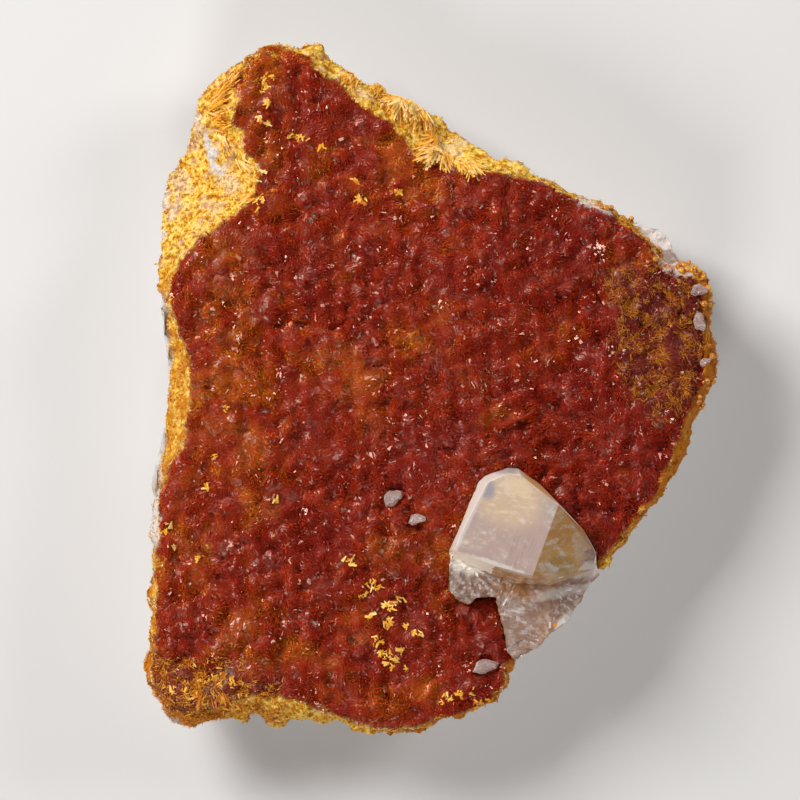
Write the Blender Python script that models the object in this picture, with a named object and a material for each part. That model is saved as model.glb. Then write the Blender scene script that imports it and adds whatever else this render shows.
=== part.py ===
"""A plate of orpiment druse on its white host rock, with one barite crystal grown on the druse.

The plate lies on its back. +Z is up and out of the druse, +Y is towards the specimen's pointed top,
and the origin is at the middle of the plate's outline, on the surface that the plate rests on.
"""

import math
import random

import bmesh
import bpy
from mathutils import Matrix, Vector, noise
from mathutils.geometry import delaunay_2d_cdt

MM = 0.001

# Driving heights over the surface that the plate rests on, in millimetres
DRUSE_HEIGHT = 14.5
INTERFACE_HEIGHT = 9.6
BARITE_FOOT = 12.3
RIDGE_HEIGHT = 22.3

# The crust: its least thickness, the drop at its rim and how steeply it is broken off there
THINNEST_CRUST = 1.7
RIM_DROP = 1.1
RIM_SLOPE = 0.72

# The druse's slow rise and fall, and the interface's
SWELL = 1.5
SWELL_LENGTH = 17.0
WANDER = 0.5
WANDER_LENGTH = 9.0

# The druse's crystals: the lattice that they stand on, and the range of each one's heights
LATTICE_STEP = 1.28
LATTICE_JITTER = 0.2
CLEAR_OF_EDGES = 0.42
CRYSTAL_RISE = (0.35, 1.0)
EDGE_SHARE = (0.35, 0.85)
PIT_DEPTH = (0.1, 0.55)
NEIGHBOURS = [(1, 0), (0, 1), (-1, 1), (-1, 0), (0, -1), (1, -1)]
ROW_SHARE = math.sqrt(3) / 2

# The roughness of the broken slopes and of the crust's sides
BROKEN_ROUGHNESS = 0.5
SIDE_ROUGHNESS = 0.35
SIDE_MIDDLE = (0.35, 0.65)

# The crust's underside: its lattice, and its outline as a share of the plate's
INTERFACE_STEP = 4.5
UNDERSIDE_SHARE = 0.988

# The gap between neighbours, the outline of the crust's place in the rock, and the place's top
GAP = 0.3
PLACE_SHARE = 1.012
PLACE_TOP = 25.0

# The plate's outline as seen from above, anticlockwise from the top
PLATE_OUTLINE = [
    (-12.8, 38.35), (-13.6, 37.9), (-14.7, 37.6), (-15.8, 38.1), (-16.4, 37.5), (-17.8, 37.7),
    (-19.7, 36.6), (-21.4, 35.9), (-23.0, 34.8), (-24.6, 33.3), (-26.2, 30.5), (-26.5, 28.8),
    (-27.2, 26.2), (-28.9, 24.3), (-29.9, 20.8), (-29.8, 17.0), (-30.0, 13.5), (-30.1, 10.9),
    (-29.6, 9.8), (-29.0, 8.2), (-28.8, 5.2), (-28.5, 2.9), (-28.6, 1.4), (-29.1, 0.6),
    (-29.2, -3.4), (-29.1, -5.6), (-29.8, -7.8), (-29.9, -10.9), (-30.5, -12.2), (-30.9, -14.3),
    (-31.1, -16.2), (-30.4, -17.4), (-30.5, -21.0), (-31.1, -22.7), (-30.6, -23.6),
    (-30.7, -25.8), (-30.9, -28.8), (-31.6, -30.6), (-31.5, -31.7), (-30.6, -32.9),
    (-29.8, -34.7), (-29.1, -36.6), (-27.9, -37.4), (-25.8, -37.5), (-24.5, -36.9),
    (-21.8, -36.4), (-20.3, -37.1), (-19.8, -35.8), (-19.1, -35.9), (-18.4, -37.0),
    (-17.3, -37.8), (-16.1, -37.7), (-15.5, -36.8), (-13.1, -36.7), (-11.9, -37.2),
    (-9.6, -36.7), (-8.3, -37.9), (-6.7, -38.35), (-5.6, -37.8), (-3.2, -38.1), (-1.0, -38.1),
    (0.8, -37.0), (1.8, -36.0), (3.4, -36.4), (5.3, -35.4), (7.1, -34.6), (8.4, -33.3),
    (8.8, -32.3), (8.6, -31.5), (9.1, -30.5), (10.7, -28.9), (12.8, -26.8), (14.9, -24.8),
    (16.0, -23.2), (17.0, -21.7), (18.5, -20.4), (20.3, -18.5), (21.7, -17.0), (22.7, -15.5),
    (24.4, -13.1), (25.7, -11.8), (26.2, -10.3), (27.1, -9.3), (28.3, -7.3), (28.7, -5.8),
    (29.2, -3.7), (30.1, -1.7), (31.2, 0.3), (31.6, 1.9), (31.6, 4.8), (30.7, 6.5),
    (31.1, 8.2), (31.1, 11.2), (30.6, 12.4), (29.4, 13.6), (28.0, 14.0), (26.8, 13.7),
    (25.7, 13.8), (25.2, 15.5), (23.7, 16.7), (22.3, 18.3), (21.1, 19.3), (19.7, 20.1),
    (18.7, 20.9), (17.9, 20.5), (16.4, 21.5), (14.6, 21.8), (13.5, 23.1), (12.0, 23.3),
    (10.7, 23.8), (10.5, 25.0), (8.6, 25.2), (7.0, 25.6), (4.6, 27.3), (2.7, 28.4),
    (1.0, 30.1), (-1.5, 31.6), (-3.4, 32.5), (-4.3, 32.3), (-5.6, 33.8), (-7.3, 33.6),
    (-8.5, 34.6), (-10.2, 36.1), (-11.4, 36.7), (-12.0, 37.9),
]

# The edge of the unbroken red druse. Between it and the outline the crust is broken off at a slope
DRUSE_EDGE = [
    (-13.4, 35.9), (-15.7, 36.4), (-18.4, 36.3), (-20.6, 33.6), (-21.4, 31.0), (-20.3, 27.6),
    (-18.9, 24.4), (-19.0, 21.6), (-21.9, 18.4), (-24.8, 16.4), (-27.2, 13.8), (-28.2, 11.0),
    (-27.5, 7.5), (-26.9, 4.4), (-26.4, 1.2), (-26.7, -2.6), (-27.4, -6.0), (-28.2, -9.4),
    (-29.1, -12.6), (-29.8, -15.9), (-29.6, -20.0), (-29.9, -24.6), (-30.2, -28.6),
    (-30.3, -31.2), (-28.4, -33.6), (-25.6, -34.3), (-22.0, -34.0), (-18.8, -34.2),
    (-15.2, -34.5), (-11.8, -35.0), (-9.0, -35.8), (-6.2, -37.1), (-2.2, -37.2), (0.3, -36.2),
    (3.6, -35.4), (6.4, -33.9), (7.8, -32.2), (8.1, -30.6), (10.0, -28.3), (14.0, -24.1),
    (16.2, -21.3), (19.3, -18.0), (21.6, -15.4), (24.6, -11.8), (26.2, -8.6), (27.6, -5.2),
    (29.0, -1.4), (30.4, 1.9), (30.2, 6.2), (30.1, 10.8), (28.6, 12.7), (25.2, 12.7),
    (24.2, 15.0), (21.7, 17.6), (18.4, 19.5), (14.4, 20.8), (11.6, 22.4), (8.4, 23.7),
    (4.6, 24.4), (2.0, 23.9), (-1.2, 25.0), (-3.0, 27.6), (-5.0, 29.7), (-8.8, 32.2),
    (-11.6, 34.3),
]

# The host rock's outline. It stands out past the crust at the left edge and at the upper right
ROCK_OUTLINE = [
    (-12.6, 36.4), (-17.6, 36.2), (-22.4, 33.4), (-25.2, 29.6), (-26.4, 25.4), (-28.9, 20.6),
    (-28.9, 14.4), (-29.2, 10.6), (-30.1, 9.2), (-29.7, 6.2), (-29.2, 3.6), (-28.9, 1.0),
    (-28.2, -2.6), (-29.6, -4.6), (-30.1, -8.0), (-30.7, -11.0), (-30.2, -13.4), (-30.2, -16.6),
    (-29.6, -21.2), (-29.9, -26.8), (-30.4, -30.8), (-28.6, -34.4), (-24.6, -35.8),
    (-18.6, -35.2), (-12.6, -35.8), (-5.2, -37.0), (0.8, -35.9), (5.4, -34.3), (8.3, -31.8),
    (12.6, -26.0), (15.8, -22.6), (20.9, -16.8), (25.2, -11.0), (28.1, -5.6), (30.3, 1.0),
    (30.0, 7.0), (30.3, 11.0), (28.3, 13.9), (27.3, 14.4), (27.0, 16.0), (26.5, 16.9),
    (25.5, 17.6), (23.6, 18.1), (21.9, 18.0), (18.8, 19.7), (14.2, 21.0), (9.8, 23.4),
    (4.2, 26.5), (-1.6, 30.4), (-7.4, 33.0),
]

# Height of each ring of the rock and its share of the outline's width, from the foot up, and how
# far a ring's points stray up or down, and in or out as a share of their reach
ROCK_RINGS = [(0.0, 0.9), (1.7, 0.955), (3.0, 0.93), (5.2, 0.99), (8.0, 1.0), (10.6, 0.992)]
ROCK_STEP = 0.5
ROCK_WOBBLE = 0.014

# Flakes broken off the rock's lower edge: how many, the stray of each one's turn, how far in each
# starts, and its slope
CHIPS = 11
CHIP_TURN = (-0.35, 0.35)
CHIP_DEPTH = (4.5, 10.0)
CHIP_STEEPNESS = (24, 52)

# The broad face of the barite's main crystal falls to the left of its ridge
RIDGE_TOP = (13.9, -12.7)
RIDGE_END = (11.1, -20.4)
FACE_TILT = math.radians(19)
MAIN_FACE = [
    (2.6, -17.7), (3.9, -14.8), (6.2, -10.3), (8.5, -9.3), (9.9, -9.5), (13.9, -12.7),
    (11.1, -20.4), (7.2, -19.4),
]
MAIN_FOOT = [
    (1.9, -18.1), (3.2, -15.0), (5.2, -10.2), (5.9, -9.6), (8.5, -8.6), (9.7, -8.7),
    (11.9, -10.3), (14.9, -13.5), (17.0, -15.7), (18.3, -18.0), (18.4, -19.6), (14.6, -22.4),
    (8.2, -22.2), (2.4, -20.0),
]

# The right-hand shoulder, down which the side face drops to the crust
SHOULDER = [(14.6, -13.2, 19.6), (16.8, -15.6, 17.6), (18.2, -18.2, 16.6), (17.8, -19.8, 16.4)]

# The cleaved root of the crystal: a plate at the lower right and a chip at the lower left
ROOT_PLATE = [
    (7.6, -22.0), (7.3, -23.3), (7.6, -24.7), (8.1, -26.2), (8.4, -28.0), (8.6, -29.1),
    (9.3, -29.9), (11.8, -28.5), (13.0, -27.1), (15.2, -25.5), (15.5, -24.7), (16.6, -23.3),
    (17.0, -22.1), (18.6, -20.5), (18.2, -19.2), (14.4, -18.6), (8.9, -20.2),
]
ROOT_CHIP = [
    (2.2, -19.4), (2.1, -22.2), (3.0, -22.4), (3.1, -23.3), (4.1, -23.7), (5.2, -23.0),
    (7.2, -22.9), (8.4, -21.4), (8.9, -19.6), (5.6, -18.2), (2.4, -18.4),
]
# Each one's outline, foot, top, and how steeply its top falls to the right and towards the front
ROOT_SLABS = {
    "root_plate": (ROOT_PLATE, 11.6, 16.8, 0.05, 0.13),
    "root_chip": (ROOT_CHIP, 12.2, 17.4, 0.04, 0.3),
}

# How far a small tablet's middle stands over the druse, each level of it with its share of the
# full width, and how far every second corner is turned
TABLET_STAND = 0.35
TABLET_LEVELS = [(-0.5, 0.8), (0.0, 1.0), (0.5, 0.72)]
TABLET_SKEW = 20

# Small tablets of barite: name, middle, long half-width, short half-width, thickness, turn, tilt
SMALL_BARITES = [
    ("barite_flake_middle", (-4.1, -12.0), 1.35, 0.85, 0.9, 38, 16),
    ("barite_flake_inner", (-1.5, -14.4), 1.1, 0.65, 0.7, 12, -14),
    ("barite_flake_lower", (6.1, -30.6), 1.65, 0.8, 0.8, 12, 10),
    ("barite_grain_upper", (29.6, 10.8), 1.1, 0.65, 1.0, 8, 15),
    ("barite_grain_middle", (29.6, 7.3), 1.35, 0.7, 1.0, 102, 12),
    ("barite_grain_lower", (30.2, 2.9), 0.8, 0.5, 0.8, 30, 10),
]


def clear_scene():
    for item in list(bpy.data.objects):
        bpy.data.objects.remove(item)


def material(name, colour, roughness, transmission=0.0):
    made = bpy.data.materials.new(name)
    made.use_nodes = True
    shader = made.node_tree.nodes["Principled BSDF"]
    shader.inputs["Base Color"].default_value = (*colour, 1.0)
    shader.inputs["Roughness"].default_value = roughness
    shader.inputs["Metallic"].default_value = 0.0
    shader.inputs["Transmission Weight"].default_value = transmission
    return made


def to_segments(x, y, loop):
    """The distance from a point to the nearest side of a closed loop."""
    point = Vector((x, y))
    nearest = math.inf
    for (ax, ay), (bx, by) in zip(loop, loop[1:] + loop[:1], strict=True):
        start = Vector((ax, ay))
        side = Vector((bx, by)) - start
        share = max(0.0, min(1.0, (point - start).dot(side) / side.length_squared))
        nearest = min(nearest, (start + side * share - point).length)
    return nearest


def inside(x, y, loop):
    """Whether a point lies in a closed loop, by counting the sides that a ray crosses."""
    crossings = 0
    for (ax, ay), (bx, by) in zip(loop, loop[1:] + loop[:1], strict=True):
        if (ay > y) != (by > y) and x < ax + (y - ay) * (bx - ax) / (by - ay):
            crossings += 1
    return crossings % 2 == 1


def scaled(loop, share):
    return [(x * share, y * share) for x, y in loop]


def swell(x, y):
    """The druse's slow rise and fall over the plate."""
    spot = Vector((x / SWELL_LENGTH, y / SWELL_LENGTH, 3.7))
    return SWELL * noise.noise(spot)


def face_height(x, y):
    """The mean height of the crust: level over the druse, and falling to the rim outside it."""
    height = DRUSE_HEIGHT + swell(x, y)
    if inside(x, y, DRUSE_EDGE):
        return height
    to_edge = to_segments(x, y, DRUSE_EDGE)
    to_rim = to_segments(x, y, PLATE_OUTLINE)
    width = to_edge + to_rim
    fall = RIM_DROP + RIM_SLOPE * width
    share = to_edge / width
    return height - fall * share


def interface_height(x, y):
    """Where the crust meets the rock."""
    spot = Vector((x / WANDER_LENGTH, y / WANDER_LENGTH, 11.3))
    level = INTERFACE_HEIGHT + WANDER * noise.noise(spot)
    return min(level, face_height(x, y) - THINNEST_CRUST)


def lattice(step, jitter, clear_of, chance):
    """Points of a jittered triangular lattice in the outline, keyed by their column and row."""
    half_wide = max(abs(x) for x, _ in PLATE_OUTLINE)
    half_tall = max(abs(y) for _, y in PLATE_OUTLINE)
    rows = int(half_tall / (step * ROW_SHARE)) + 1
    columns = int(half_wide / step) + rows
    found = {}
    for row in range(-rows, rows + 1):
        for column in range(-columns, columns + 1):
            x = step * (column + 0.5 * row) + chance.uniform(-jitter, jitter)
            y = step * ROW_SHARE * row + chance.uniform(-jitter, jitter)
            if abs(x) > half_wide or not inside(x, y, PLATE_OUTLINE):
                continue
            if min(to_segments(x, y, loop) for loop in clear_of) > CLEAR_OF_EDGES * step:
                found[column, row] = (x, y)
    return found


def crystal_rises(keys, chance):
    """Each lattice point's height over the druse. One point in three is a crystal's peak. Its edge
    runs down to one of the six points round it, and the others are the pits between crystals."""
    rises = {key: -chance.uniform(*PIT_DEPTH) for key in keys}
    for column, row in keys:
        if (column - row) % 3:
            continue
        peak = chance.uniform(*CRYSTAL_RISE)
        rises[column, row] = peak
        step_x, step_y = chance.choice(NEIGHBOURS)
        beside = (column + step_x, row + step_y)
        if beside in rises:
            rises[beside] = peak * chance.uniform(*EDGE_SHARE)
    return rises


def triangulated(points, loops):
    """Triangles that fill the first loop, with every loop's sides kept as edges."""
    flat = [Vector(p) for loop in loops for p in loop] + [Vector(p) for p in points]
    sides = []
    start = 0
    for loop in loops:
        sides += [(start + i, start + (i + 1) % len(loop)) for i in range(len(loop))]
        start += len(loop)
    rim = [list(range(len(loops[0])))]
    placed, _, faces, *_ = delaunay_2d_cdt(flat, sides, rim, 1, 1e-5)
    return placed, faces


def crust_height(x, y, rise, chance):
    """The height of a point on the crust: a crystal's or a pit's on the druse, and rough where the
    crust is broken off."""
    level = face_height(x, y)
    if inside(x, y, DRUSE_EDGE):
        return level + rise
    return level + chance.uniform(-BROKEN_ROUGHNESS, BROKEN_ROUGHNESS)


def skin(bm, placed, faces, heights, facing_up):
    made = [bm.verts.new((p.x * MM, p.y * MM, z * MM)) for p, z in zip(placed, heights, strict=True)]
    for face in faces:
        corners = [made[i] for i in face]
        bm.faces.new(corners if facing_up else corners[::-1])
    return made


def wall(bm, low_ring, high_ring):
    """A strip of quads between two rings that run anticlockwise, facing out."""
    count = len(low_ring)
    for i in range(count):
        j = (i + 1) % count
        bm.faces.new((low_ring[i], low_ring[j], high_ring[j], high_ring[i]))


def finished(name, bm, look):
    bmesh.ops.triangulate(bm, faces=bm.faces)
    mesh = bpy.data.meshes.new(name)
    bm.to_mesh(mesh)
    bm.free()
    mesh.materials.append(look)
    made = bpy.data.objects.new(name, mesh)
    bpy.context.scene.collection.objects.link(made)
    return made


def boolean(target, operation, other):
    cut = target.modifiers.new(f"{operation.lower()} {other.name}", "BOOLEAN")
    cut.operation = operation
    cut.solver = "EXACT"
    cut.object = other
    other.hide_render = True
    other.display_type = "WIRE"


def crust_underside():
    """The interface's points and triangles, which the crust and the rock's cutter share."""
    foot = scaled(PLATE_OUTLINE, UNDERSIDE_SHARE)
    inner = lattice(INTERFACE_STEP, 0.0, [foot], random.Random(5))
    placed, faces = triangulated(inner.values(), [foot])
    heights = [interface_height(p.x, p.y) for p in placed]
    return placed, faces, heights


def build_crust(look):
    """The crust: its druse, the broken slopes round it, its rough sides and its underside."""
    chance = random.Random(29)
    points = lattice(LATTICE_STEP, LATTICE_JITTER, [PLATE_OUTLINE, DRUSE_EDGE], chance)
    placed, faces = triangulated(points.values(), [PLATE_OUTLINE, DRUSE_EDGE])
    heights = [face_height(x, y) for x, y in PLATE_OUTLINE + DRUSE_EDGE]
    rises = crystal_rises(points, chance)
    heights += [crust_height(*points[key], rises[key], chance) for key in points]
    bm = bmesh.new()
    rim = len(PLATE_OUTLINE)
    top = skin(bm, placed, faces, heights, True)[:rim]
    under = skin(bm, *crust_underside(), False)[:rim]
    middle = []
    for low, high in zip(under, top, strict=True):
        spot = low.co.lerp(high.co, chance.uniform(*SIDE_MIDDLE))
        reach = 1.0 + chance.uniform(-SIDE_ROUGHNESS, 0.0) * MM / spot.xy.length
        middle.append(bm.verts.new((spot.x * reach, spot.y * reach, spot.z)))
    wall(bm, under, middle)
    wall(bm, middle, top)
    return finished("orpiment_crust", bm, look)


def build_rock_cutter(look):
    """The crust's place: its underside lowered by the gap, and its outline widened by it."""
    placed, faces, heights = crust_underside()
    bm = bmesh.new()
    low = skin(bm, placed, faces, [z - GAP for z in heights], False)[: len(PLATE_OUTLINE)]
    wide = [(x * MM, y * MM) for x, y in scaled(PLATE_OUTLINE, PLACE_SHARE)]
    level = [bm.verts.new((*spot, under.co.z)) for spot, under in zip(wide, low, strict=True)]
    high = [bm.verts.new((*spot, PLACE_TOP * MM)) for spot in wide]
    wall(bm, low, level)
    wall(bm, level, high)
    bm.faces.new(high)
    return finished("crust_place", bm, look)


def chip_off(bm, around, depth, steepness):
    """Breaks a flat flake off the rock's lower edge, on the side that the angle points to."""
    outward = Vector((math.cos(around), math.sin(around), 0.0))
    reach = max(v.co.dot(outward) for v in bm.verts)
    normal = outward * math.sin(steepness) - Vector((0.0, 0.0, math.cos(steepness)))
    spot = outward * (reach - depth * MM)
    parts = bm.verts[:] + bm.edges[:] + bm.faces[:]
    cut = bmesh.ops.bisect_plane(bm, geom=parts, plane_co=spot, plane_no=normal, clear_outer=True)
    edges = [e for e in cut["geom_cut"] if isinstance(e, bmesh.types.BMEdge)]
    bmesh.ops.edgeloop_fill(bm, edges=edges)


def build_rock(look):
    """The host rock: a flat foot, rough chipped sides, and the crust's place cut from its top."""
    chance = random.Random(13)
    bm = bmesh.new()
    rings = []
    for height, share in ROCK_RINGS:
        rough = 0.0 < height < INTERFACE_HEIGHT
        ring = []
        for x, y in ROCK_OUTLINE:
            reach = share * (1.0 + chance.uniform(-ROCK_WOBBLE, ROCK_WOBBLE) * rough)
            lift = chance.uniform(-ROCK_STEP, ROCK_STEP) * rough
            ring.append(bm.verts.new((x * reach * MM, y * reach * MM, (height + lift) * MM)))
        rings.append(ring)
    for low, high in zip(rings, rings[1:], strict=False):
        wall(bm, low, high)
    bm.faces.new(rings[-1])
    bm.faces.new(rings[0][::-1])
    bmesh.ops.triangulate(bm, faces=bm.faces)
    for flake in range(CHIPS):
        around = math.tau * (flake + chance.uniform(*CHIP_TURN)) / CHIPS
        steepness = math.radians(chance.uniform(*CHIP_STEEPNESS))
        chip_off(bm, around, chance.uniform(*CHIP_DEPTH), steepness)
    rock = finished("host_rock", bm, look)
    boolean(rock, "DIFFERENCE", build_rock_cutter(look))


def hull(name, points, look):
    bm = bmesh.new()
    for x, y, z in points:
        bm.verts.new((x * MM, y * MM, z * MM))
    bmesh.ops.convex_hull(bm, input=bm.verts)
    loose = [v for v in bm.verts if not v.link_faces]
    bmesh.ops.delete(bm, geom=loose, context="VERTS")
    return finished(name, bm, look)


def widened(points):
    """The tips of a small octahedron round each point: their hull clears the points' own hull."""
    reach = GAP * math.sqrt(3)
    steps = [(reach, 0, 0), (0, reach, 0), (0, 0, reach)]
    steps += [(-dx, -dy, -dz) for dx, dy, dz in steps]
    return [(x + dx, y + dy, z + dz) for x, y, z in points for dx, dy, dz in steps]


def cut_place(crust, name, points, look):
    """Cuts a crystal's place from the crust, wider than the crystal by the gap."""
    boolean(crust, "DIFFERENCE", hull(f"{name}_place", widened(points), look))


def main_face_height(x, y):
    """The broad face is a plane that holds the ridge and falls away to its left."""
    ridge = (Vector(RIDGE_END) - Vector(RIDGE_TOP)).normalized()
    left = Vector((ridge.y, -ridge.x))
    away = (Vector((x, y)) - Vector(RIDGE_TOP)).dot(left)
    return RIDGE_HEIGHT - math.tan(FACE_TILT) * away


def slab_points(outline, foot, top, fall_x, fall_y):
    """A slab's lower and upper corners. Its top falls away from its highest corner."""
    reach_x = min(x for x, _ in outline)
    reach_y = max(y for _, y in outline)
    low = [(x, y, foot) for x, y in outline]
    high = [(x, y, top - fall_x * (x - reach_x) - fall_y * (reach_y - y)) for x, y in outline]
    return low, high


def slab(name, low, high, look):
    bm = bmesh.new()
    low_ring = [bm.verts.new((x * MM, y * MM, z * MM)) for x, y, z in low]
    high_ring = [bm.verts.new((x * MM, y * MM, z * MM)) for x, y, z in high]
    bm.faces.new(low_ring[::-1])
    bm.faces.new(high_ring)
    wall(bm, low_ring, high_ring)
    return finished(name, bm, look)


def build_barite(crust, look):
    """The main crystal, with its cleaved root joined to it as the one crystal that it is."""
    corners = [(x, y, main_face_height(x, y)) for x, y in MAIN_FACE]
    corners += [(x, y, BARITE_FOOT) for x, y in MAIN_FOOT]
    corners += SHOULDER
    crystal = hull("barite_crystal", corners, look)
    cut_place(crust, "barite_crystal", corners, look)
    for name, slab_values in ROOT_SLABS.items():
        low, high = slab_points(*slab_values)
        boolean(crystal, "UNION", slab(name, low, high, look))
        cut_place(crust, name, low + high, look)


def tablet_points(middle, long_half, short_half, thickness, turn, tilt):
    """The corners of a six-sided tablet with bevelled edges, half sunk in the druse."""
    x, y = middle
    place = Matrix.Translation((x, y, face_height(x, y) + TABLET_STAND))
    turned = place @ Matrix.Rotation(math.radians(turn), 4, "Z")
    turned = turned @ Matrix.Rotation(math.radians(tilt), 4, "Y")
    points = []
    for level, share in TABLET_LEVELS:
        for corner in range(6):
            angle = math.radians(60 * corner + TABLET_SKEW * (corner % 2))
            spot = Vector((
                long_half * share * math.cos(angle),
                short_half * share * math.sin(angle),
                level * thickness,
            ))
            points.append(tuple(turned @ spot))
    return points


def build_small_barites(crust, look):
    for name, *shape in SMALL_BARITES:
        points = tablet_points(*shape)
        hull(name, points, look)
        cut_place(crust, name, points, look)


def main():
    clear_scene()
    orpiment = material("orpiment_druse", (0.32, 0.045, 0.008), 0.3)
    rock_look = material("host_rock_stone", (0.62, 0.58, 0.53), 0.85)
    barite_look = material("barite_clear", (0.8, 0.72, 0.62), 0.15, 0.5)
    crust = build_crust(orpiment)
    build_rock(rock_look)
    build_barite(crust, barite_look)
    build_small_barites(crust, barite_look)


main()
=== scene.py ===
"""Dresses a plate of orpiment druse, with a barite crystal on it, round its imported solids.

The plate lies on its back with the druse up. Named lengths are in millimetres, Blender's in metres.
"""

import math

import bpy
import numpy as np
from bpy.props import FloatProperty, FloatVectorProperty, IntProperty, PointerProperty
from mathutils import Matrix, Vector, noise
from mathutils.kdtree import KDTree


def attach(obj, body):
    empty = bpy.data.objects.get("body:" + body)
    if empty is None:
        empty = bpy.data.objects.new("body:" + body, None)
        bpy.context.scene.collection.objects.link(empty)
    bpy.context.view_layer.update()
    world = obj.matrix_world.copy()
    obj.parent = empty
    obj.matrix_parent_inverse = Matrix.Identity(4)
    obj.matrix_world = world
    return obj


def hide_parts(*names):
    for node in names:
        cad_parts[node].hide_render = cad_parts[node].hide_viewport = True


bl_info = {
    "name": "Orpiment druse with barite",
    "version": (1, 0, 0),
    "blender": (4, 5, 0),
    "location": "3D View > Sidebar > Specimen",
    "description": "Grows the druse's blades, the broken rims and the barite round the packed solids",
    "category": "Object",
}

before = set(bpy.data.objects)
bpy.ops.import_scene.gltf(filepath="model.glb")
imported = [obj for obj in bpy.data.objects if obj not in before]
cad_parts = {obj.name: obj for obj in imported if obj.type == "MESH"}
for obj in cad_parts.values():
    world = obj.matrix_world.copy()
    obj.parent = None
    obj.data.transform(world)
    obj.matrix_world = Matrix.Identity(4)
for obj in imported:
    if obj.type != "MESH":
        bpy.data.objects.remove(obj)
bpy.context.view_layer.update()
BODY = "root"
MM = 0.001

# The edge of the red druse as seen from above. Outside it the crust is broken and yellow
DRUSE_EDGE = [
    (-13.4, 36.8), (-15.7, 37.8), (-18.4, 37.6), (-19.9, 36.6), (-21.0, 34.8), (-21.7, 33.2),
    (-20.9, 32.0), (-21.8, 30.4), (-21.9, 29.0), (-20.7, 28.2), (-20.0, 25.7), (-18.7, 24.1),
    (-19.2, 21.8), (-19.8, 20.4), (-22.1, 18.4), (-24.1, 17.4), (-25.7, 16.8), (-26.3, 15.3),
    (-27.9, 14.3), (-28.4, 12.4), (-28.6, 9.4), (-28.2, 7.0), (-27.1, 4.8), (-26.4, 2.0),
    (-26.3, -1.3), (-27.1, -5.1), (-28.1, -7.8), (-29.3, -9.4), (-30.0, -13.0), (-30.2, -18.0),
    (-30.3, -24.6), (-30.6, -29.0), (-30.6, -32.4), (-28.6, -35.8), (-25.4, -36.2),
    (-21.8, -34.8), (-19.0, -34.0), (-16.0, -34.2), (-13.2, -35.1), (-11.0, -35.9), (-9.4, -36.6),
    (-6.2, -37.5), (-2.2, -37.7), (1.0, -36.3), (4.2, -35.6), (6.9, -34.1), (8.0, -32.6),
    (8.2, -31.0), (9.9, -28.6), (14.0, -24.4), (16.3, -21.5), (19.6, -18.4), (21.9, -15.5),
    (24.7, -11.9), (26.0, -9.0), (27.4, -5.7), (28.7, -2.2), (30.2, 1.0), (30.5, 5.4),
    (30.1, 10.6), (28.7, 12.9), (25.5, 13.4), (24.6, 15.2), (22.3, 17.9), (18.9, 20.0),
    (15.0, 21.2), (12.0, 22.8), (9.5, 23.6), (5.0, 23.9), (1.1, 24.5), (-1.0, 24.5),
    (-1.8, 26.2), (-3.0, 27.9), (-4.2, 29.2), (-5.6, 30.0), (-7.2, 30.8), (-8.6, 32.3),
    (-10.5, 33.8), (-12.3, 35.2),
]

# Where fine gold needles felt the druse: outlines on the right, and at the lower left
FELT_RIGHT = [
    (17.6, 13.4), (19.0, 10.8), (20.0, 8.6), (20.2, 5.3), (20.5, 2.6), (21.8, -1.3),
    (23.1, -3.5), (25.0, -4.6), (28.2, -3.0), (30.0, -1.0), (31.4, 3.0), (30.8, 11.5),
    (27.5, 13.8), (22.5, 14.0),
]
FELT_LOWER = [
    (-30.8, -28.6), (-26.0, -29.6), (-21.4, -29.8), (-16.6, -32.4), (-15.5, -37.0),
    (-23.0, -37.0), (-29.0, -37.6), (-31.4, -33.0),
]
# Where the barite stands: what shows through it is the crust's golden inside
BARITE_BED = [
    (1.6, -18.2), (5.0, -9.8), (9.8, -8.3), (15.0, -13.2), (18.6, -18.3), (18.6, -20.8),
    (9.2, -30.2), (7.2, -23.4), (4.0, -24.2), (1.8, -22.6),
]

# The part of the upper right rim that is an even ridge, with few crumbs
EVEN_RIDGE = [(2.2, 30.0), (2.6, 26.4), (6.0, 25.3), (10.4, 23.8), (11.4, 26.0), (6.0, 29.0)]

# The pale rock that stands out past the crust at the upper right, and the height of its top
ROCK_CHUNK = [
    (21.9, 18.6), (22.0, 17.2), (23.0, 15.8), (24.2, 14.8), (24.8, 13.8), (25.6, 12.8),
    (28.4, 13.6), (28.2, 16.0), (26.6, 18.0), (24.6, 18.9),
]
CHUNK_TOP = 12.1
# Where the chunk is highest, how it falls away from there, and the least height that it lifts
CHUNK_PEAK = (23.6, 15.4)
CHUNK_FALL = 0.09
CHUNK_FOOT = 8.6

# The druse's lumps: how far apart they stand, and how far each one reaches
LUMP_STEP = 2.3
LUMP_REACH = (1.1, 2.0)

# Where white matrix and pinkish grey show in the broken crust: strokes from end to end, with
# their half-widths and strengths
PALE_STROKES = [
    (-24.7, 27.7, -24.1, 26.4, 0.5, 1.0), (-24.1, 26.4, -24.0, 24.8, 0.5, 1.0),
    (-24.0, 24.8, -23.3, 24.0, 0.5, 0.9), (-26.1, 30.4, -26.1, 30.2, 0.6, 0.9),
    (-22.6, 23.0, -21.8, 22.3, 1.0, 0.35), (-29.7, 21.6, -29.6, 20.4, 0.8, 0.8),
    (-27.9, 23.6, -27.2, 22.4, 0.9, 0.3), (-27.6, 20.6, -28.6, 19.2, 0.45, 0.5),
    (-29.9, 17.4, -29.8, 16.6, 0.5, 0.9), (-26.0, 26.5, -25.6, 28.6, 0.5, 0.3),
    (-29.8, 9.6, -29.6, 0.7, 0.75, 1.0), (-30.3, -4.3, -30.4, -17.2, 0.55, 0.9),
    (-30.4, -34.6, -27.5, -37.8, 0.5, 0.7), (25.9, 13.7, 28.2, 12.9, 0.8, 0.9),
    (16.6, 20.6, 19.6, 19.4, 0.5, 0.7),
    (-24.0, -33.0, -22.6, -31.6, 0.9, 0.4), (0.6, 27.2, 3.0, 25.8, 0.5, 0.35),
]

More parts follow.
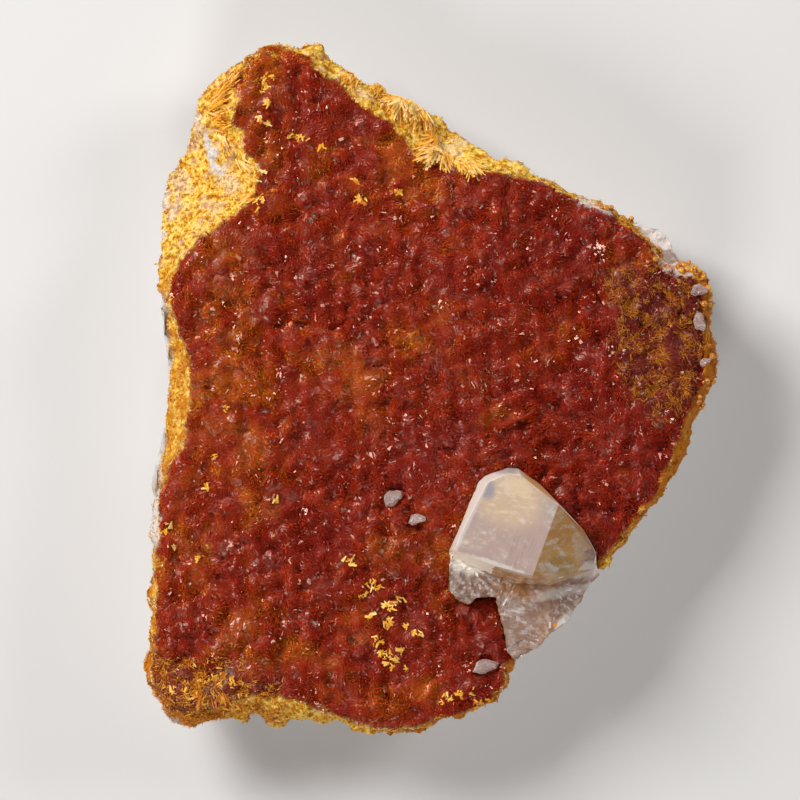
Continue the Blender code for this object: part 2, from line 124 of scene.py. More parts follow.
# How far the crust's walls round the barite move in, so that no gap shows, and how far out from
# the barite's outline they are still its walls
BED_CLOSING = 0.4
BED_MARGIN = 1.5
# Between these heights the crust's sides turn from red druse to broken yellow
LOW_SIDE = (12.0, 11.2)

# The size of the cells that the rock and the crust are remeshed in
ROCK_CELL = 0.42
CRUST_CELL = 0.34
# How many places are tried for each blade, crumb and needle that may stand
BLADE_TRIES = 2.6
CRUMB_TRIES = 14
NEEDLE_TRIES = 24
# The most triangles in one piece of blades
PIECE_TRIANGLES = 190000
# How much of their own shading the crumbs and the gold laths keep
OWN_SHADING = 0.45

# The straight ridge of the barite, from its upper end to its lower one
RIDGE = [(13.9, -12.7), (11.1, -20.4)]
# Faces below this line, y = first + second * x, belong to the crystal's broken lower slope
BAND_LINE = (-16.6, -0.30)
# The broken root begins between these heights, and its flat faces are frosted below the last one
ROOT_TOP = (17.9, 17.2)
FROSTED_TOP = 17.55
# The least that a face of the crystal's flat top points up
TOP_FACING = 0.88
# The white cleavage patch is round in a plan whose y is sheared by x and then stretched: its
# middle and its reach there, the shear and the stretch
WHITE_PATCH = (4.0, -33.8)
WHITE_REACH = 2.9
WHITE_SHEAR = 0.27
WHITE_STRETCH = 1.9
MILKY, BEVEL, CLEAR, FROSTED, WHITE = range(5)

# Gold laths on the red druse: each patch's middle, its half-widths and how many stand in it
GOLD_PATCHES = [
    (-18.0, 33.3, 1.0, 1.2, 15), (-18.0, 31.6, 0.5, 0.6, 5), (-14.9, 27.8, 1.3, 0.7, 11),
    (-18.4, 29.5, 1.6, 0.5, 7), (-11.9, 27.0, 0.4, 0.3, 2), (-8.0, 21.3, 0.7, 2.1, 11),
    (-3.5, 21.8, 0.4, 0.3, 3), (-29.2, -15.9, 1.1, 0.8, 8), (-8.7, -19.1, 0.8, 0.9, 6),
    (-7.4, -22.7, 0.5, 0.4, 4), (-6.7, -21.4, 0.6, 0.5, 5), (-5.9, -22.2, 0.6, 0.5, 5),
    (-4.4, -24.1, 0.9, 0.7, 8), (-3.0, -23.3, 0.6, 0.5, 5), (-4.1, -25.7, 0.9, 0.7, 8),
    (-6.4, -24.9, 0.7, 0.6, 6), (-6.1, -27.7, 0.7, 0.7, 6), (-4.8, -26.0, 0.6, 0.5, 5),
    (-2.8, -26.1, 0.6, 0.6, 6), (-1.3, -26.8, 0.7, 0.5, 5), (-4.3, -29.3, 2.3, 1.1, 26),
    (-22.5, -2.3, 0.5, 0.9, 3), (-23.8, -7.6, 0.4, 1.0, 3), (-24.7, -11.7, 0.7, 1.1, 3),
    (-17.2, -12.5, 0.5, 0.6, 3), (-17.0, -16.7, 0.3, 0.3, 1), (-28.0, -17.4, 1.1, 0.6, 4),
    (-25.9, -18.3, 0.9, 0.5, 3), (-24.5, -17.3, 0.4, 0.3, 1), (3.6, -34.2, 4.2, 1.0, 30),
    (-24.0, -33.6, 5.2, 2.4, 120), (-19.2, 23.0, 1.0, 2.6, 12),
]

# Rows of long laths that lean over the druse from the broken rim: each row's two ends, the
# directions and the lengths of its laths there, how many they are and how bright
SHEAVES = [
    (-9.6, 34.7, -5.4, 33.2, 236, 242, 1.5, 2.0, 90, 0.50),
    (-4.9, 32.3, -3.4, 31.8, 238, 244, 2.2, 2.7, 140, 0.74),
    (-3.3, 31.8, -1.7, 31.2, 244, 250, 2.9, 2.9, 180, 0.85),
    (-1.6, 31.0, -0.2, 30.2, 249, 252, 2.8, 3.1, 150, 0.66),
    (-0.2, 29.8, 0.7, 28.2, 246, 226, 2.4, 2.2, 120, 0.50),
    (0.6, 27.7, 0.4, 26.9, 215, 224, 2.4, 2.9, 120, 0.62),
    (0.4, 26.7, 0.9, 26.0, 226, 238, 3.0, 2.6, 160, 0.90),
    (1.2, 25.9, 2.6, 25.3, 243, 263, 2.3, 2.0, 140, 0.68),
    (2.6, 25.3, 5.0, 24.4, 264, 300, 2.0, 1.8, 160, 0.72),
    (-21.9, 33.9, -23.3, 32.2, 34, 22, 1.3, 1.8, 150, 0.42),
    (-23.7, 32.3, -24.0, 30.4, 20, 12, 2.0, 2.1, 190, 0.46),
    (-23.9, 30.2, -23.2, 28.6, 14, 2, 2.0, 1.8, 140, 0.38),
    (-23.2, 28.1, -22.8, 27.4, 324, 318, 2.4, 2.2, 80, 0.80),
    (-21.2, 25.3, -20.6, 24.7, 334, 326, 1.9, 1.7, 50, 0.70),
    (-20.9, 20.5, -20.2, 20.1, 28, 32, 1.6, 1.6, 50, 0.45),
    (-25.8, -34.0, -22.4, -33.4, 246, 300, 1.5, 1.3, 60, 0.18),
]

# Amber beads on the right rim: the spots round which they gather, and how many do
BEADS = [
    (24.7, 15.9, 5), (25.4, 14.7, 4), (27.8, 13.5, 4), (28.6, 13.0, 5), (29.6, 12.6, 8),
    (30.4, 11.6, 6), (30.8, 9.4, 3), (31.0, 3.6, 4), (30.5, 0.6, 5), (29.8, -1.6, 4),
    (22.8, 18.4, 3), (19.4, 19.9, 3),
]


def colour_setting(name, description, default):
    return FloatVectorProperty(
        name=name, description=description, default=default, subtype="COLOR"
    )


def length_setting(name, description, millimetres):
    return FloatProperty(
        name=name, description=description, default=millimetres * MM, unit="LENGTH"
    )


class DruseSettings(bpy.types.PropertyGroup):
    blades: IntProperty(
        name="Blades", description="How many blades the druse has", default=84000, min=1000
    )
    blade_length: length_setting("Blade length", "Mean length of a druse blade", 0.40)
    blade_width: length_setting("Blade width", "Mean width of a druse blade", 0.21)
    needles: IntProperty(
        name="Felt needles", description="The most gold needles that felt the druse", default=24000
    )
    fibres: IntProperty(
        name="Rim fibres", description="How many crumbs and fibres the rims have", default=24000
    )
    fibre_length: length_setting(
        "Fibre length", "Crumbs have about a third of this length, and upright fibres more", 1.15
    )
    hollow: colour_setting("Hollows", "Colour of the druse in its hollows", (0.24, 0.008, 0.003))
    body: colour_setting("Druse", "Colour of the druse", (0.305, 0.0135, 0.002))
    glow: colour_setting("Glow", "Colour of the druse's lit lumps", (0.47, 0.058, 0.003))


class RimSettings(bpy.types.PropertyGroup):
    # Deep is partly the rim's own orange-brown and partly painted shade, in the hollows of its bumps
    # and on its shaded right and lower parts; lit is a painted highlight on their crests
    deep: colour_setting("Deep", "Colour of the rim's hollows", (0.58, 0.19, 0.010))
    yellow: colour_setting("Yellow", "Colour of the broken crust", (0.86, 0.50, 0.035))
    lit: colour_setting("Lit", "Colour of the broken crust's edges", (0.97, 0.78, 0.24))
    pale: colour_setting("Pale", "Colour of the rim's pale patches", (0.76, 0.56, 0.46))


class BariteSettings(bpy.types.PropertyGroup):
    edge: length_setting("Edge", "Width of the wear along the crystal's edges", 0.09)
    clear: colour_setting("Clear", "Tint of the clear crystal", (0.74, 0.40, 0.12))
    frosted: colour_setting("Frosted", "Tint of the broken root", (0.34, 0.19, 0.135))
    milky: colour_setting("Milky", "Tint of the milky faces", (0.54, 0.385, 0.335))


class StageSettings(bpy.types.PropertyGroup):
    floor: colour_setting("Floor", "Colour of the floor", (0.72, 0.70, 0.68))
    view_height: length_setting("View height", "Height of the camera over the druse", 600.0)
    view_width: length_setting("View width", "Width that the camera sees at the druse", 88.0)


# Meshes and selections


def deselect_all():
    for item in bpy.context.selected_objects:
        item.select_set(False)


def make_active(piece):
    deselect_all()
    piece.select_set(True)
    bpy.context.view_layer.objects.active = piece


def copy_of_node(node, name):
    """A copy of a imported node's mesh as a piece of its own, with its loose triangles merged."""
    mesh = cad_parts[node].data.copy()
    mesh.name = name
    mesh.materials.clear()
    piece = bpy.data.objects.new(name, mesh)
    bpy.context.scene.collection.objects.link(piece)
    make_active(piece)
    bpy.ops.object.mode_set(mode="EDIT")
    bpy.ops.mesh.select_all(action="SELECT")
    bpy.ops.mesh.remove_doubles(threshold=0.001 * MM)
    bpy.ops.object.mode_set(mode="OBJECT")
    return piece


def apply_modifier(piece, kind, **values):
    made = piece.modifiers.new(kind.lower(), kind)
    for key, value in values.items():
        setattr(made, key, value)
    make_active(piece)
    bpy.ops.object.modifier_apply(modifier=made.name)


def corners_of(mesh):
    found = np.zeros(len(mesh.vertices) * 3)
    mesh.vertices.foreach_get("co", found)
    return found.reshape(-1, 3)


def normals_of(mesh):
    found = np.zeros(len(mesh.vertices) * 3)
    mesh.vertices.foreach_get("normal", found)
    return found.reshape(-1, 3)


def place_corners(mesh, places):
    mesh.vertices.foreach_set("co", places.reshape(-1))
    mesh.update()


def give_attribute(mesh, name, values):
    made = mesh.attributes.new(name, "FLOAT", "POINT")
    made.data.foreach_set("value", np.asarray(values, np.float32))


def finish_piece(piece, material, slot, *replaced):
    piece.data.materials.append(material)
    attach(piece, BODY)
    if replaced:
        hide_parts(*replaced)


# Zones and noise


def inside(points, loop):
    """For each point, whether it lies in a closed loop."""
    x, y = points[:, 0] / MM, points[:, 1] / MM
    found = np.zeros(len(points), bool)
    for (ax, ay), (bx, by) in zip(loop, loop[1:] + loop[:1], strict=True):
        if ay == by:
            continue
        crossed = ((ay > y) != (by > y)) & (x < ax + (y - ay) * (bx - ax) / (by - ay))
        found ^= crossed
    return found


def depth_in(points, loop):
    """For each point, how far it lies inside a closed loop, in millimetres; outside is negative."""
    spots = points[:, :2] / MM
    nearest = np.full(len(points), np.inf)
    for start, end in zip(loop, loop[1:] + loop[:1], strict=True):
        start, side = np.array(start), np.subtract(end, start)
        share = np.clip((spots - start) @ side / (side @ side), 0.0, 1.0)
        away = spots - start - share[:, None] * side
        nearest = np.minimum(nearest, np.hypot(away[:, 0], away[:, 1]))
    return np.where(inside(points, loop), nearest, -nearest)


def wander(points, size, seed, octaves=2):
    """Smooth noise from -1 to 1 at each point, with features of the given size in millimetres."""
    shift = Vector((seed * 7.3, seed * 3.1, seed * 1.7))
    scale = 1.0 / (size * MM)
    found = np.empty(len(points))
    for index, point in enumerate(points):
        found[index] = noise.fractal(Vector(point) * scale + shift, 1.0, 2.0, octaves)
    return found


def smooth_step(values, low, high):
    share = np.clip((values - low) / (high - low), 0.0, 1.0)
    return share * share * (3.0 - 2.0 * share)


def zone_values(points):
    """Each point's rim value, from 0 on the red druse to 1 on the broken yellow crust, and its
    felt value, 1 where gold needles felt the druse."""
    edge = depth_in(points, DRUSE_EDGE) + 0.55 * wander(points, 1.6, 1)
    rim = 1.0 - smooth_step(edge, -0.35, 0.35)
    bed = depth_in(points, BARITE_BED)
    rim = np.maximum(rim, 0.8 * smooth_step(bed, 0.6, 1.5))
    rim = np.maximum(rim, smooth_step(points[:, 2] / MM, *LOW_SIDE) * (bed < -BED_MARGIN))
    felt = smooth_step(depth_in(points, FELT_RIGHT) + 1.6 * wander(points, 3.0, 2), -0.6, 1.6)
    lower = smooth_step(depth_in(points, FELT_LOWER) + 1.3 * wander(points, 2.5, 3), -0.4, 1.4)
    return rim, np.maximum(felt, lower)


def lumps(points):
    """The druse's rounded lumps: how far up its lump each point is, from 0 in a hollow to 1 on
    the top, and the lump's own shade."""
    chance = np.random.default_rng(55)
    cells = (44, 48)
    stray = chance.uniform(-0.42, 0.42, (*cells, 2))
    reach = chance.uniform(*LUMP_REACH, cells)
    shade = chance.random(cells)
    spots = points[:, :2] / (LUMP_STEP * MM) + np.array(cells) / 2
    home = np.floor(spots).astype(int)
    height, own = np.zeros(len(points)), np.full(len(points), 0.3)
    for step in np.ndindex(3, 3):
        cell = home + np.array(step) - 1
        key = (cell[:, 0], cell[:, 1])
        away = (spots - (cell + 0.5 + stray[key])) * LUMP_STEP
        rise = np.sqrt(np.maximum(0.0, 1.0 - (away**2).sum(1) / reach[key] ** 2))
        higher = rise > height
        height = np.where(higher, rise, height)
        own = np.where(higher, shade[key], own)
    return height, own


def tone_values(points):
    """From 0 in the druse's maroon hollows to 1 on the lumps that glow orange, and lower towards
    the right as painted shade.
    """
    height, own = lumps(points)
    broad = wander(points, 8.0, 4, 3)
    close = wander(points, 3.0, 5)
    tone = 0.42 + 0.26 * (own - 0.5) * height + 0.45 * broad + 0.30 * close
    # Painted shade: darker towards the right, away from the key light at the upper left
    tone -= 0.30 * smooth_step(points[:, 0] / MM, 0.0, 16.0)
    return np.clip(tone, 0.0, 1.0)


def rim_tone_and_light(points):
    """How bright the broken crust is, partly its own colour and partly painted light and shade:
    yellow and painted lighter at the upper left, where the key light falls; orange, olive and
    painted darker towards the right and the bottom, away from it. The far left is darker and
    more orange in its own colour.
    """
    x, y = points[:, 0] / MM, points[:, 1] / MM
    lit = 0.62 - 0.35 * smooth_step(x - 0.35 * y, 2.0, 14.0) - 0.20 * smooth_step(y, -20.0, -34.0)
    lit -= 0.34 * smooth_step(x, 20.0, 26.0) * smooth_step(y, 16.0, 8.0)
    lit -= 0.42 * smooth_step(x, -20.0, -24.0) * smooth_step(y, 17.0, 11.0)
    return lit + 0.30 * wander(points, 1.5, 31, 3)


def pale_values(points):
    """How much of the white matrix shows at each point."""
    spots = points[:, :2] / MM
    found = np.zeros(len(points))
    stray = 0.55 * wander(points, 0.9, 6, 3)
    for ax, ay, bx, by, reach, strength in PALE_STROKES:
        start, side = np.array((ax, ay)), np.array((bx - ax, by - ay))
        share = np.clip((spots - start) @ side / max(side @ side, 1e-9), 0.0, 1.0)
        away = np.hypot(*(spots - start - share[:, None] * side).T) + stray
        found = np.maximum(found, strength * (1.0 - smooth_step(away, 0.6 * reach, 1.3 * reach)))
    return found


# Laths: the blades, needles and fibres that everything fine here is made of

# The triangles of a lath with six corners, and of a needle with four
LATH_FACES = {
    6: [(0, 3, 2), (0, 2, 1), (0, 1, 5), (0, 5, 4), (2, 3, 4), (2, 4, 5), (0, 4, 3), (1, 2, 5)],
    4: [(0, 2, 1), (0, 1, 3), (1, 2, 3), (2, 0, 3)],
}


def unit(vectors):
    return vectors / np.linalg.norm(vectors, axis=1, keepdims=True)


def across(directions, chance):
    """A random unit vector across each direction."""
    return unit(np.cross(directions, chance.normal(size=directions.shape)))


def leaning(normals, tilts, chance):
    """Each normal leant over by its tilt, in degrees, in a random direction."""
    lean = np.radians(tilts)[:, None]
    return normals * np.cos(lean) + across(normals, chance) * np.sin(lean)


def lath_corners(roots, directions, wide, lengths, widths, thick, tip_share):
    """Six corners for each lath: four round its root, and the two ends of its chisel edge."""
    deep = np.cross(directions, wide)
    wide = wide * (widths / 2)[:, None]
    deep = deep * (thick / 2)[:, None]
    tips = roots + directions * lengths[:, None]
    made = np.stack([
        roots - wide - deep, roots + wide - deep, roots + wide + deep, roots - wide + deep,
        tips - wide * tip_share, tips + wide * tip_share,
    ], axis=1)
    return made


def needle_corners(roots, directions, wide, lengths, widths):
    """Four corners for each needle: three round its root, and its tip."""
    deep = np.cross(directions, wide)
    made = [roots + directions * lengths[:, None]]
    for turn in (2.094, 4.189, 0.0):
        side = wide * math.cos(turn) + deep * math.sin(turn)
        made.insert(0, roots + side * (widths / 2)[:, None])
    return np.stack(made, axis=1)


def shade_as_ground(mesh, ground, crisp):
    """Gives each face the shading of the ground under it, but for its own crisp share, because
    fine crystals that light passes through look like one smooth body."""
    facing = np.zeros(len(mesh.polygons) * 3)
    mesh.polygons.foreach_get("normal", facing)
    facing = facing.reshape(-1, 3)
    crisp = np.where((facing * ground).sum(1) < 0.0, 1.0, crisp)[:, None]
    shown = unit(ground * (1.0 - crisp) + facing * crisp)
    made = mesh.attributes.new("custom_normal", "FLOAT_VECTOR", "CORNER")
    made.data.foreach_set("vector", np.repeat(shown, 3, axis=0).reshape(-1).astype(np.float32))


def mesh_of_laths(name, corners, values, ground, crisp):
    """One mesh of laths, and for each name in values a number that is the same all over a lath.
    Ground is the normal under each lath, and crisp is how much it keeps its own shading."""
    count, each = corners.shape[:2]
    faces = (np.array(LATH_FACES[each]) + each * np.arange(count)[:, None, None]).reshape(-1)
    mesh = bpy.data.meshes.new(name)
    mesh.vertices.add(count * each)
    mesh.vertices.foreach_set("co", corners.reshape(-1))
    mesh.loops.add(len(faces))
    mesh.loops.foreach_set("vertex_index", faces)
    mesh.polygons.add(len(faces) // 3)
    mesh.polygons.foreach_set("loop_start", np.arange(0, len(faces), 3))
    mesh.update(calc_edges=True)
    mesh.shade_flat()
    sides = len(LATH_FACES[each])
    shade_as_ground(mesh, np.repeat(ground, sides, axis=0), np.repeat(crisp, sides))
    for key, spread in values.items():
        give_attribute(mesh, key, np.repeat(spread, each))
    piece = bpy.data.objects.new(name, mesh)
    bpy.context.scene.collection.objects.link(piece)
    return piece


def scattered(base, count, chance):
    """Places spread evenly over a mesh by area, and the smooth normal at each."""
    mesh = base.data
    mesh.calc_loop_triangles()
    triangles = np.zeros(len(mesh.loop_triangles) * 3, int)
    mesh.loop_triangles.foreach_get("vertices", triangles)
    triangles = triangles.reshape(-1, 3)
    corners = corners_of(mesh)[triangles]
    normals = normals_of(mesh)[triangles]
    cross = np.cross(corners[:, 1] - corners[:, 0], corners[:, 2] - corners[:, 0])
    running = np.cumsum(np.linalg.norm(cross, axis=1))
    marks = (np.arange(count) + chance.random(count)) / count * running[-1]
    picked = np.minimum(np.searchsorted(running, marks), len(triangles) - 1)
    first, second = chance.random(count), chance.random(count)
    over = first + second > 1.0
    first[over], second[over] = 1.0 - first[over], 1.0 - second[over]
    shares = np.stack([1.0 - first - second, first, second], axis=1)[:, :, None]
    places = (corners[picked] * shares).sum(1)
    facing = (normals[picked] * shares).sum(1)
    return places, facing / np.linalg.norm(facing, axis=1, keepdims=True)


def some_of(keep, count, chance):
    """A random choice of the places to keep, at most so many, in their own order."""
    return np.sort(chance.permutation(np.flatnonzero(keep))[:count])


def nearest_of(places, centres):
    """For each place, the number of the centre nearest to it."""
    tree = KDTree(len(centres))
    for index, centre in enumerate(centres):
        tree.insert(centre, index)
    tree.balance()
    return np.array([tree.find(place)[1] for place in places])


def bundled(places, normals, spacing, tilt, stray, chance):
    """The direction and the wide side of a lath at each place. The laths of a bundle stand
    nearly parallel, so that they catch the light together."""
    centres = chance.choice(len(places), int(len(places) / spacing), replace=False)
    nearest = nearest_of(places, places[centres])
    lean = np.tan(np.radians(chance.uniform(*tilt, len(centres))))[:, None]
    shared = normals[centres] + across(normals[centres], chance) * lean
    directions = unit(unit(shared)[nearest] + chance.normal(scale=stray, size=places.shape))
    sides = across(unit(shared), chance)[nearest] + chance.normal(scale=stray, size=places.shape)
    return directions, unit(sides - directions * (sides * directions).sum(1)[:, None])


# Materials


def new_material(name):
    made = bpy.data.materials.new(name)
    made.use_nodes = True
    return made, made.node_tree, made.node_tree.nodes["Principled BSDF"]


def feed(tree, value, target):
    """Links a socket to a target, or sets the target to a plain value."""
    if isinstance(value, bpy.types.NodeSocket):
        tree.links.new(value, target)
    else:
        target.default_value = value


def ramp(tree, source, stops):
    made = tree.nodes.new("ShaderNodeValToRGB")
    while len(made.color_ramp.elements) < len(stops):
        made.color_ramp.elements.new(1.0)
    for element, (place, colour) in zip(made.color_ramp.elements, stops, strict=True):
        element.position = place
        element.color = (*colour, 1.0)
    feed(tree, source, made.inputs["Fac"])
    return made.outputs["Color"]


def between(tree, source, low, high):
    """From 0 where the source is low to 1 where it is high."""
    made = tree.nodes.new("ShaderNodeMapRange")
    made.interpolation_type = "SMOOTHSTEP"
    feed(tree, source, made.inputs["Value"])
    made.inputs["From Min"].default_value = low
    made.inputs["From Max"].default_value = high
    return made.outputs["Result"]


def blend(tree, share, first, second, mode="MIX"):
    made = tree.nodes.new("ShaderNodeMix")
    made.data_type = "RGBA"
    made.blend_type = mode
    colours = [socket for socket in made.inputs if socket.type == "RGBA"]
    feed(tree, share, made.inputs["Factor"])
    for value, target in zip((first, second), colours, strict=True):
        feed(tree, (*value, 1.0) if isinstance(value, tuple) else value, target)
    return next(socket for socket in made.outputs if socket.type == "RGBA")


def maths(tree, operation, first, second=0.0):
    made = tree.nodes.new("ShaderNodeMath")
    made.operation = operation
    feed(tree, first, made.inputs[0])
    feed(tree, second, made.inputs[1])
    return made.outputs["Value"]


def attribute(tree, name):
    made = tree.nodes.new("ShaderNodeAttribute")
    made.attribute_name = name
    return made.outputs["Fac"]


def place_of(tree, middle=(0.0, 0.0, 0.0), reach=(1.0, 1.0, 1.0), turn=0.0):
    """Object coordinates, counted from a middle in millimetres, turned and stretched."""
    place = tree.nodes.new("ShaderNodeTexCoord")
    mapping = tree.nodes.new("ShaderNodeMapping")
    mapping.vector_type = "TEXTURE"
    mapping.inputs["Location"].default_value = tuple(v * MM for v in middle)
    mapping.inputs["Rotation"].default_value = (0.0, 0.0, math.radians(turn))
    mapping.inputs["Scale"].default_value = reach
    tree.links.new(place.outputs["Object"], mapping.inputs["Vector"])
    return mapping.outputs["Vector"]


def object_noise(tree, size, detail=4.0, roughness=0.55, middle=(0, 0, 0), reach=(1, 1, 1), turn=0):
    """Noise in object space with features of the given size in millimetres."""
    made = tree.nodes.new("ShaderNodeTexNoise")
    made.inputs["Scale"].default_value = 1.0 / (size * MM)
    made.inputs["Detail"].default_value = detail
    made.inputs["Roughness"].default_value = roughness
    tree.links.new(place_of(tree, middle, reach, turn), made.inputs["Vector"])
    return made.outputs["Fac"]


def patch(tree, middle, reach, turn=0.0):
    """A soft oval patch: 1 at its middle, 0 past its reach, both in millimetres."""
    made = tree.nodes.new("ShaderNodeTexGradient")
    made.gradient_type = "SPHERICAL"
    size = (reach[0] * MM, reach[1] * MM, 40 * MM)
    tree.links.new(place_of(tree, (*middle, 15.0), size, turn), made.inputs["Vector"])
    return made.outputs["Fac"]


def bump(tree, height, strength, distance):
    made = tree.nodes.new("ShaderNodeBump")
    made.inputs["Strength"].default_value = strength
    made.inputs["Distance"].default_value = distance * MM
    tree.links.new(height, made.inputs["Height"])
    return made.outputs["Normal"]


def orpiment_colours():
    """The node group that all orpiment shares. Its colour comes from the tone of the druse, and
    from how far the rim, the felt or the pale matrix takes its place."""
    group = bpy.data.node_groups.get("orpiment_colours")
    if group:
        return group
    druse, rims = bpy.context.scene.specimen_druse, bpy.context.scene.specimen_rim
    group = bpy.data.node_groups.new("orpiment_colours", "ShaderNodeTree")
    for name in ("Tone", "Rim", "Felt", "Pale"):
        group.interface.new_socket(name, in_out="INPUT", socket_type="NodeSocketFloat")
    group.interface.new_socket("Color", in_out="OUTPUT", socket_type="NodeSocketColor")
    group.interface.new_socket("Height", in_out="OUTPUT", socket_type="NodeSocketFloat")
    given = group.nodes.new("NodeGroupInput")
    result = group.nodes.new("NodeGroupOutput")
    colours = [tuple(colour) for colour in (druse.hollow, druse.body, druse.glow)]
    red = ramp(group, given.outputs["Tone"], list(zip((0.08, 0.42, 0.85), colours, strict=True)))
    crumbs = object_noise(group, 0.55, 5.0, 0.7)
    clouds = object_noise(group, 2.0, 5.0, 0.62, (3.0, 1.0, 0.0), (1.5, 0.8, 1.0), 25)
    # Painted shade and highlight: the crumbs noise is also the bump's height, so its hollows take the
    # deep colours and its crests the lit one, over the crust's yellow
    yellow = ramp(group, crumbs, [
        (0.33, tuple(part * 0.7 for part in rims.deep)), (0.43, tuple(rims.deep)),
        (0.50, tuple(rims.yellow)), (0.62, tuple(rims.lit)),
    ])
    lilac = maths(
        group, "MULTIPLY", between(group, clouds, 0.52, 0.60),
        between(group, given.outputs["Tone"], 0.35, 0.6),
    )
    yellow = blend(group, maths(group, "MULTIPLY", lilac, 0.4), yellow, tuple(rims.pale))
    # Where the rim's tone is low it turns deep: painted shade at the right and the bottom, and the
    # crust's own orange-brown at the far left
    shade = between(group, given.outputs["Tone"], 0.0, 0.45)
    yellow = blend(group, maths(group, "SUBTRACT", 1.0, shade), yellow, tuple(rims.deep))
    felted = ramp(group, given.outputs["Tone"], [
        (0.0, (0.14, 0.010, 0.007)), (0.5, (0.235, 0.023, 0.008)), (1.0, (0.41, 0.07, 0.009)),
    ])
    colour = blend(group, given.outputs["Felt"], red, felted)
    colour = blend(group, given.outputs["Rim"], colour, yellow)
    matrix = ramp(group, crumbs, [(0.35, (0.48, 0.40, 0.34)), (0.52, (0.80, 0.72, 0.65))])
    colour = blend(group, given.outputs["Pale"], colour, matrix)
    group.links.new(colour, result.inputs["Color"])
    group.links.new(crumbs, result.inputs["Height"])
    return group


# How far red, green and blue light spreads inside the crust and its thin blades, in millimetres
CRUST_SCATTER = (1.10, 0.72, 0.50)
BLADE_SCATTER = (0.50, 0.45, 0.42)
SHEEN_TINT = (1.0, 0.69, 0.56, 1.0)


def orpiment_material(name, roughness, ior, stray, relief, subsurface, sheen, scatter=CRUST_SCATTER):
    """Orpiment that reads its tone, rim, felt, pale and gloss values from the mesh. Stray is how
    far its tone wanders, and relief the height of its bumps in millimetres."""
    made, tree, shader = new_material(name)
    colours = tree.nodes.new("ShaderNodeGroup")
    colours.node_tree = orpiment_colours()
    uneven = maths(tree, "MULTIPLY", maths(tree, "SUBTRACT", object_noise(tree, 0.4), 0.5), stray)
    tree.links.new(maths(tree, "ADD", attribute(tree, "tone"), uneven), colours.inputs["Tone"])
    for key in ("rim", "felt", "pale"):
        tree.links.new(attribute(tree, key), colours.inputs[key.capitalize()])
    tree.links.new(colours.outputs["Color"], shader.inputs["Base Color"])
    rough = maths(tree, "ADD", maths(tree, "MULTIPLY", attribute(tree, "rim"), 0.35), roughness)
    gloss = maths(tree, "MULTIPLY", attribute(tree, "gloss"), 0.38)
    tree.links.new(maths(tree, "SUBTRACT", rough, gloss), shader.inputs["Roughness"])
    if relief:
        normal = bump(tree, colours.outputs["Height"], 0.8, relief)
        tree.links.new(normal, shader.inputs["Normal"])
    shader.inputs["IOR"].default_value = ior
    shader.inputs["Specular IOR Level"].default_value = sheen
    shader.inputs["Subsurface Weight"].default_value = subsurface
    shader.inputs["Specular Tint"].default_value = SHEEN_TINT
    shader.inputs["Subsurface Radius"].default_value = scatter
    shader.inputs["Subsurface Scale"].default_value = MM
    return made


def rock_material():
    made, tree, shader = new_material("pale_host_rock")
    broad = object_noise(tree, 9.0, 5.0)
    grain = object_noise(tree, 0.7, 6.0, 0.65, (0.4, 0.1, 0.2))
    base = ramp(tree, broad, [
        (0.3, (0.50, 0.44, 0.40)), (0.5, (0.70, 0.65, 0.60)), (0.7, (0.82, 0.78, 0.74)),
    ])
    specks = ramp(tree, grain, [(0.35, (0.50, 0.46, 0.44)), (0.5, (1.0, 1.0, 1.0))])
    colour = blend(tree, 0.75, base, specks, "MULTIPLY")
    stain = between(tree, object_noise(tree, 6.0, 4.0, 0.6, (9.0, 0.0, 3.0)), 0.58, 0.72)
    colour = blend(tree, maths(tree, "MULTIPLY", stain, 0.5), colour, (0.62, 0.36, 0.08))
    chunk = between(tree, patch(tree, (25.6, 16.0), (5.0, 5.0)), 0.0, 0.5)
    colour = blend(tree, maths(tree, "MULTIPLY", chunk, 0.8), colour, (0.90, 0.80, 0.74))
    tree.links.new(colour, shader.inputs["Base Color"])
    shader.inputs["Roughness"].default_value = 0.85
    tree.links.new(bump(tree, grain, 0.6, 0.15), shader.inputs["Normal"])
    return made


# Operators: the host rock, the crust, its laths, the barite and the stage


class SPECIMEN_OT_host_rock(bpy.types.Operator):
    """Roughen the host rock's broken sides and back"""

    bl_idname = "specimen.host_rock"
    bl_label = "Host rock"

    def execute(self, context):
        rock = copy_of_node("host_rock", "host_rock_broken")
        apply_modifier(rock, "REMESH", mode="VOXEL", voxel_size=ROCK_CELL * MM)
        apply_modifier(rock, "SMOOTH", factor=0.5, iterations=1)
        mesh = rock.data
        places, normals = corners_of(mesh), normals_of(mesh)
        rough = 0.22 * wander(places, 3.2, 21, 3) + 0.12 * wander(places, 0.9, 22, 2)
        free = smooth_step(places[:, 2] / MM, 0.15, 0.9)
        rough = np.where(normals[:, 2] > 0.6, np.minimum(rough, 0.0), rough) * free
        places += normals * (rough * MM)[:, None]
        depth = depth_in(places, ROCK_CHUNK)
        away = np.abs(places[:, :2] / MM - CHUNK_PEAK).sum(1)
        dome = CHUNK_TOP - CHUNK_FALL * away**2 + 0.4 * wander(places, 1.3, 23, 4)
        chunk = (depth > 0.0) & (places[:, 2] > CHUNK_FOOT * MM)
        places[chunk, 2] = np.maximum(places[chunk, 2], dome[chunk] * MM)
        place_corners(mesh, places)
        mesh.shade_flat()
        finish_piece(rock, rock_material(), "host_rock", "host_rock")
        return {"FINISHED"}


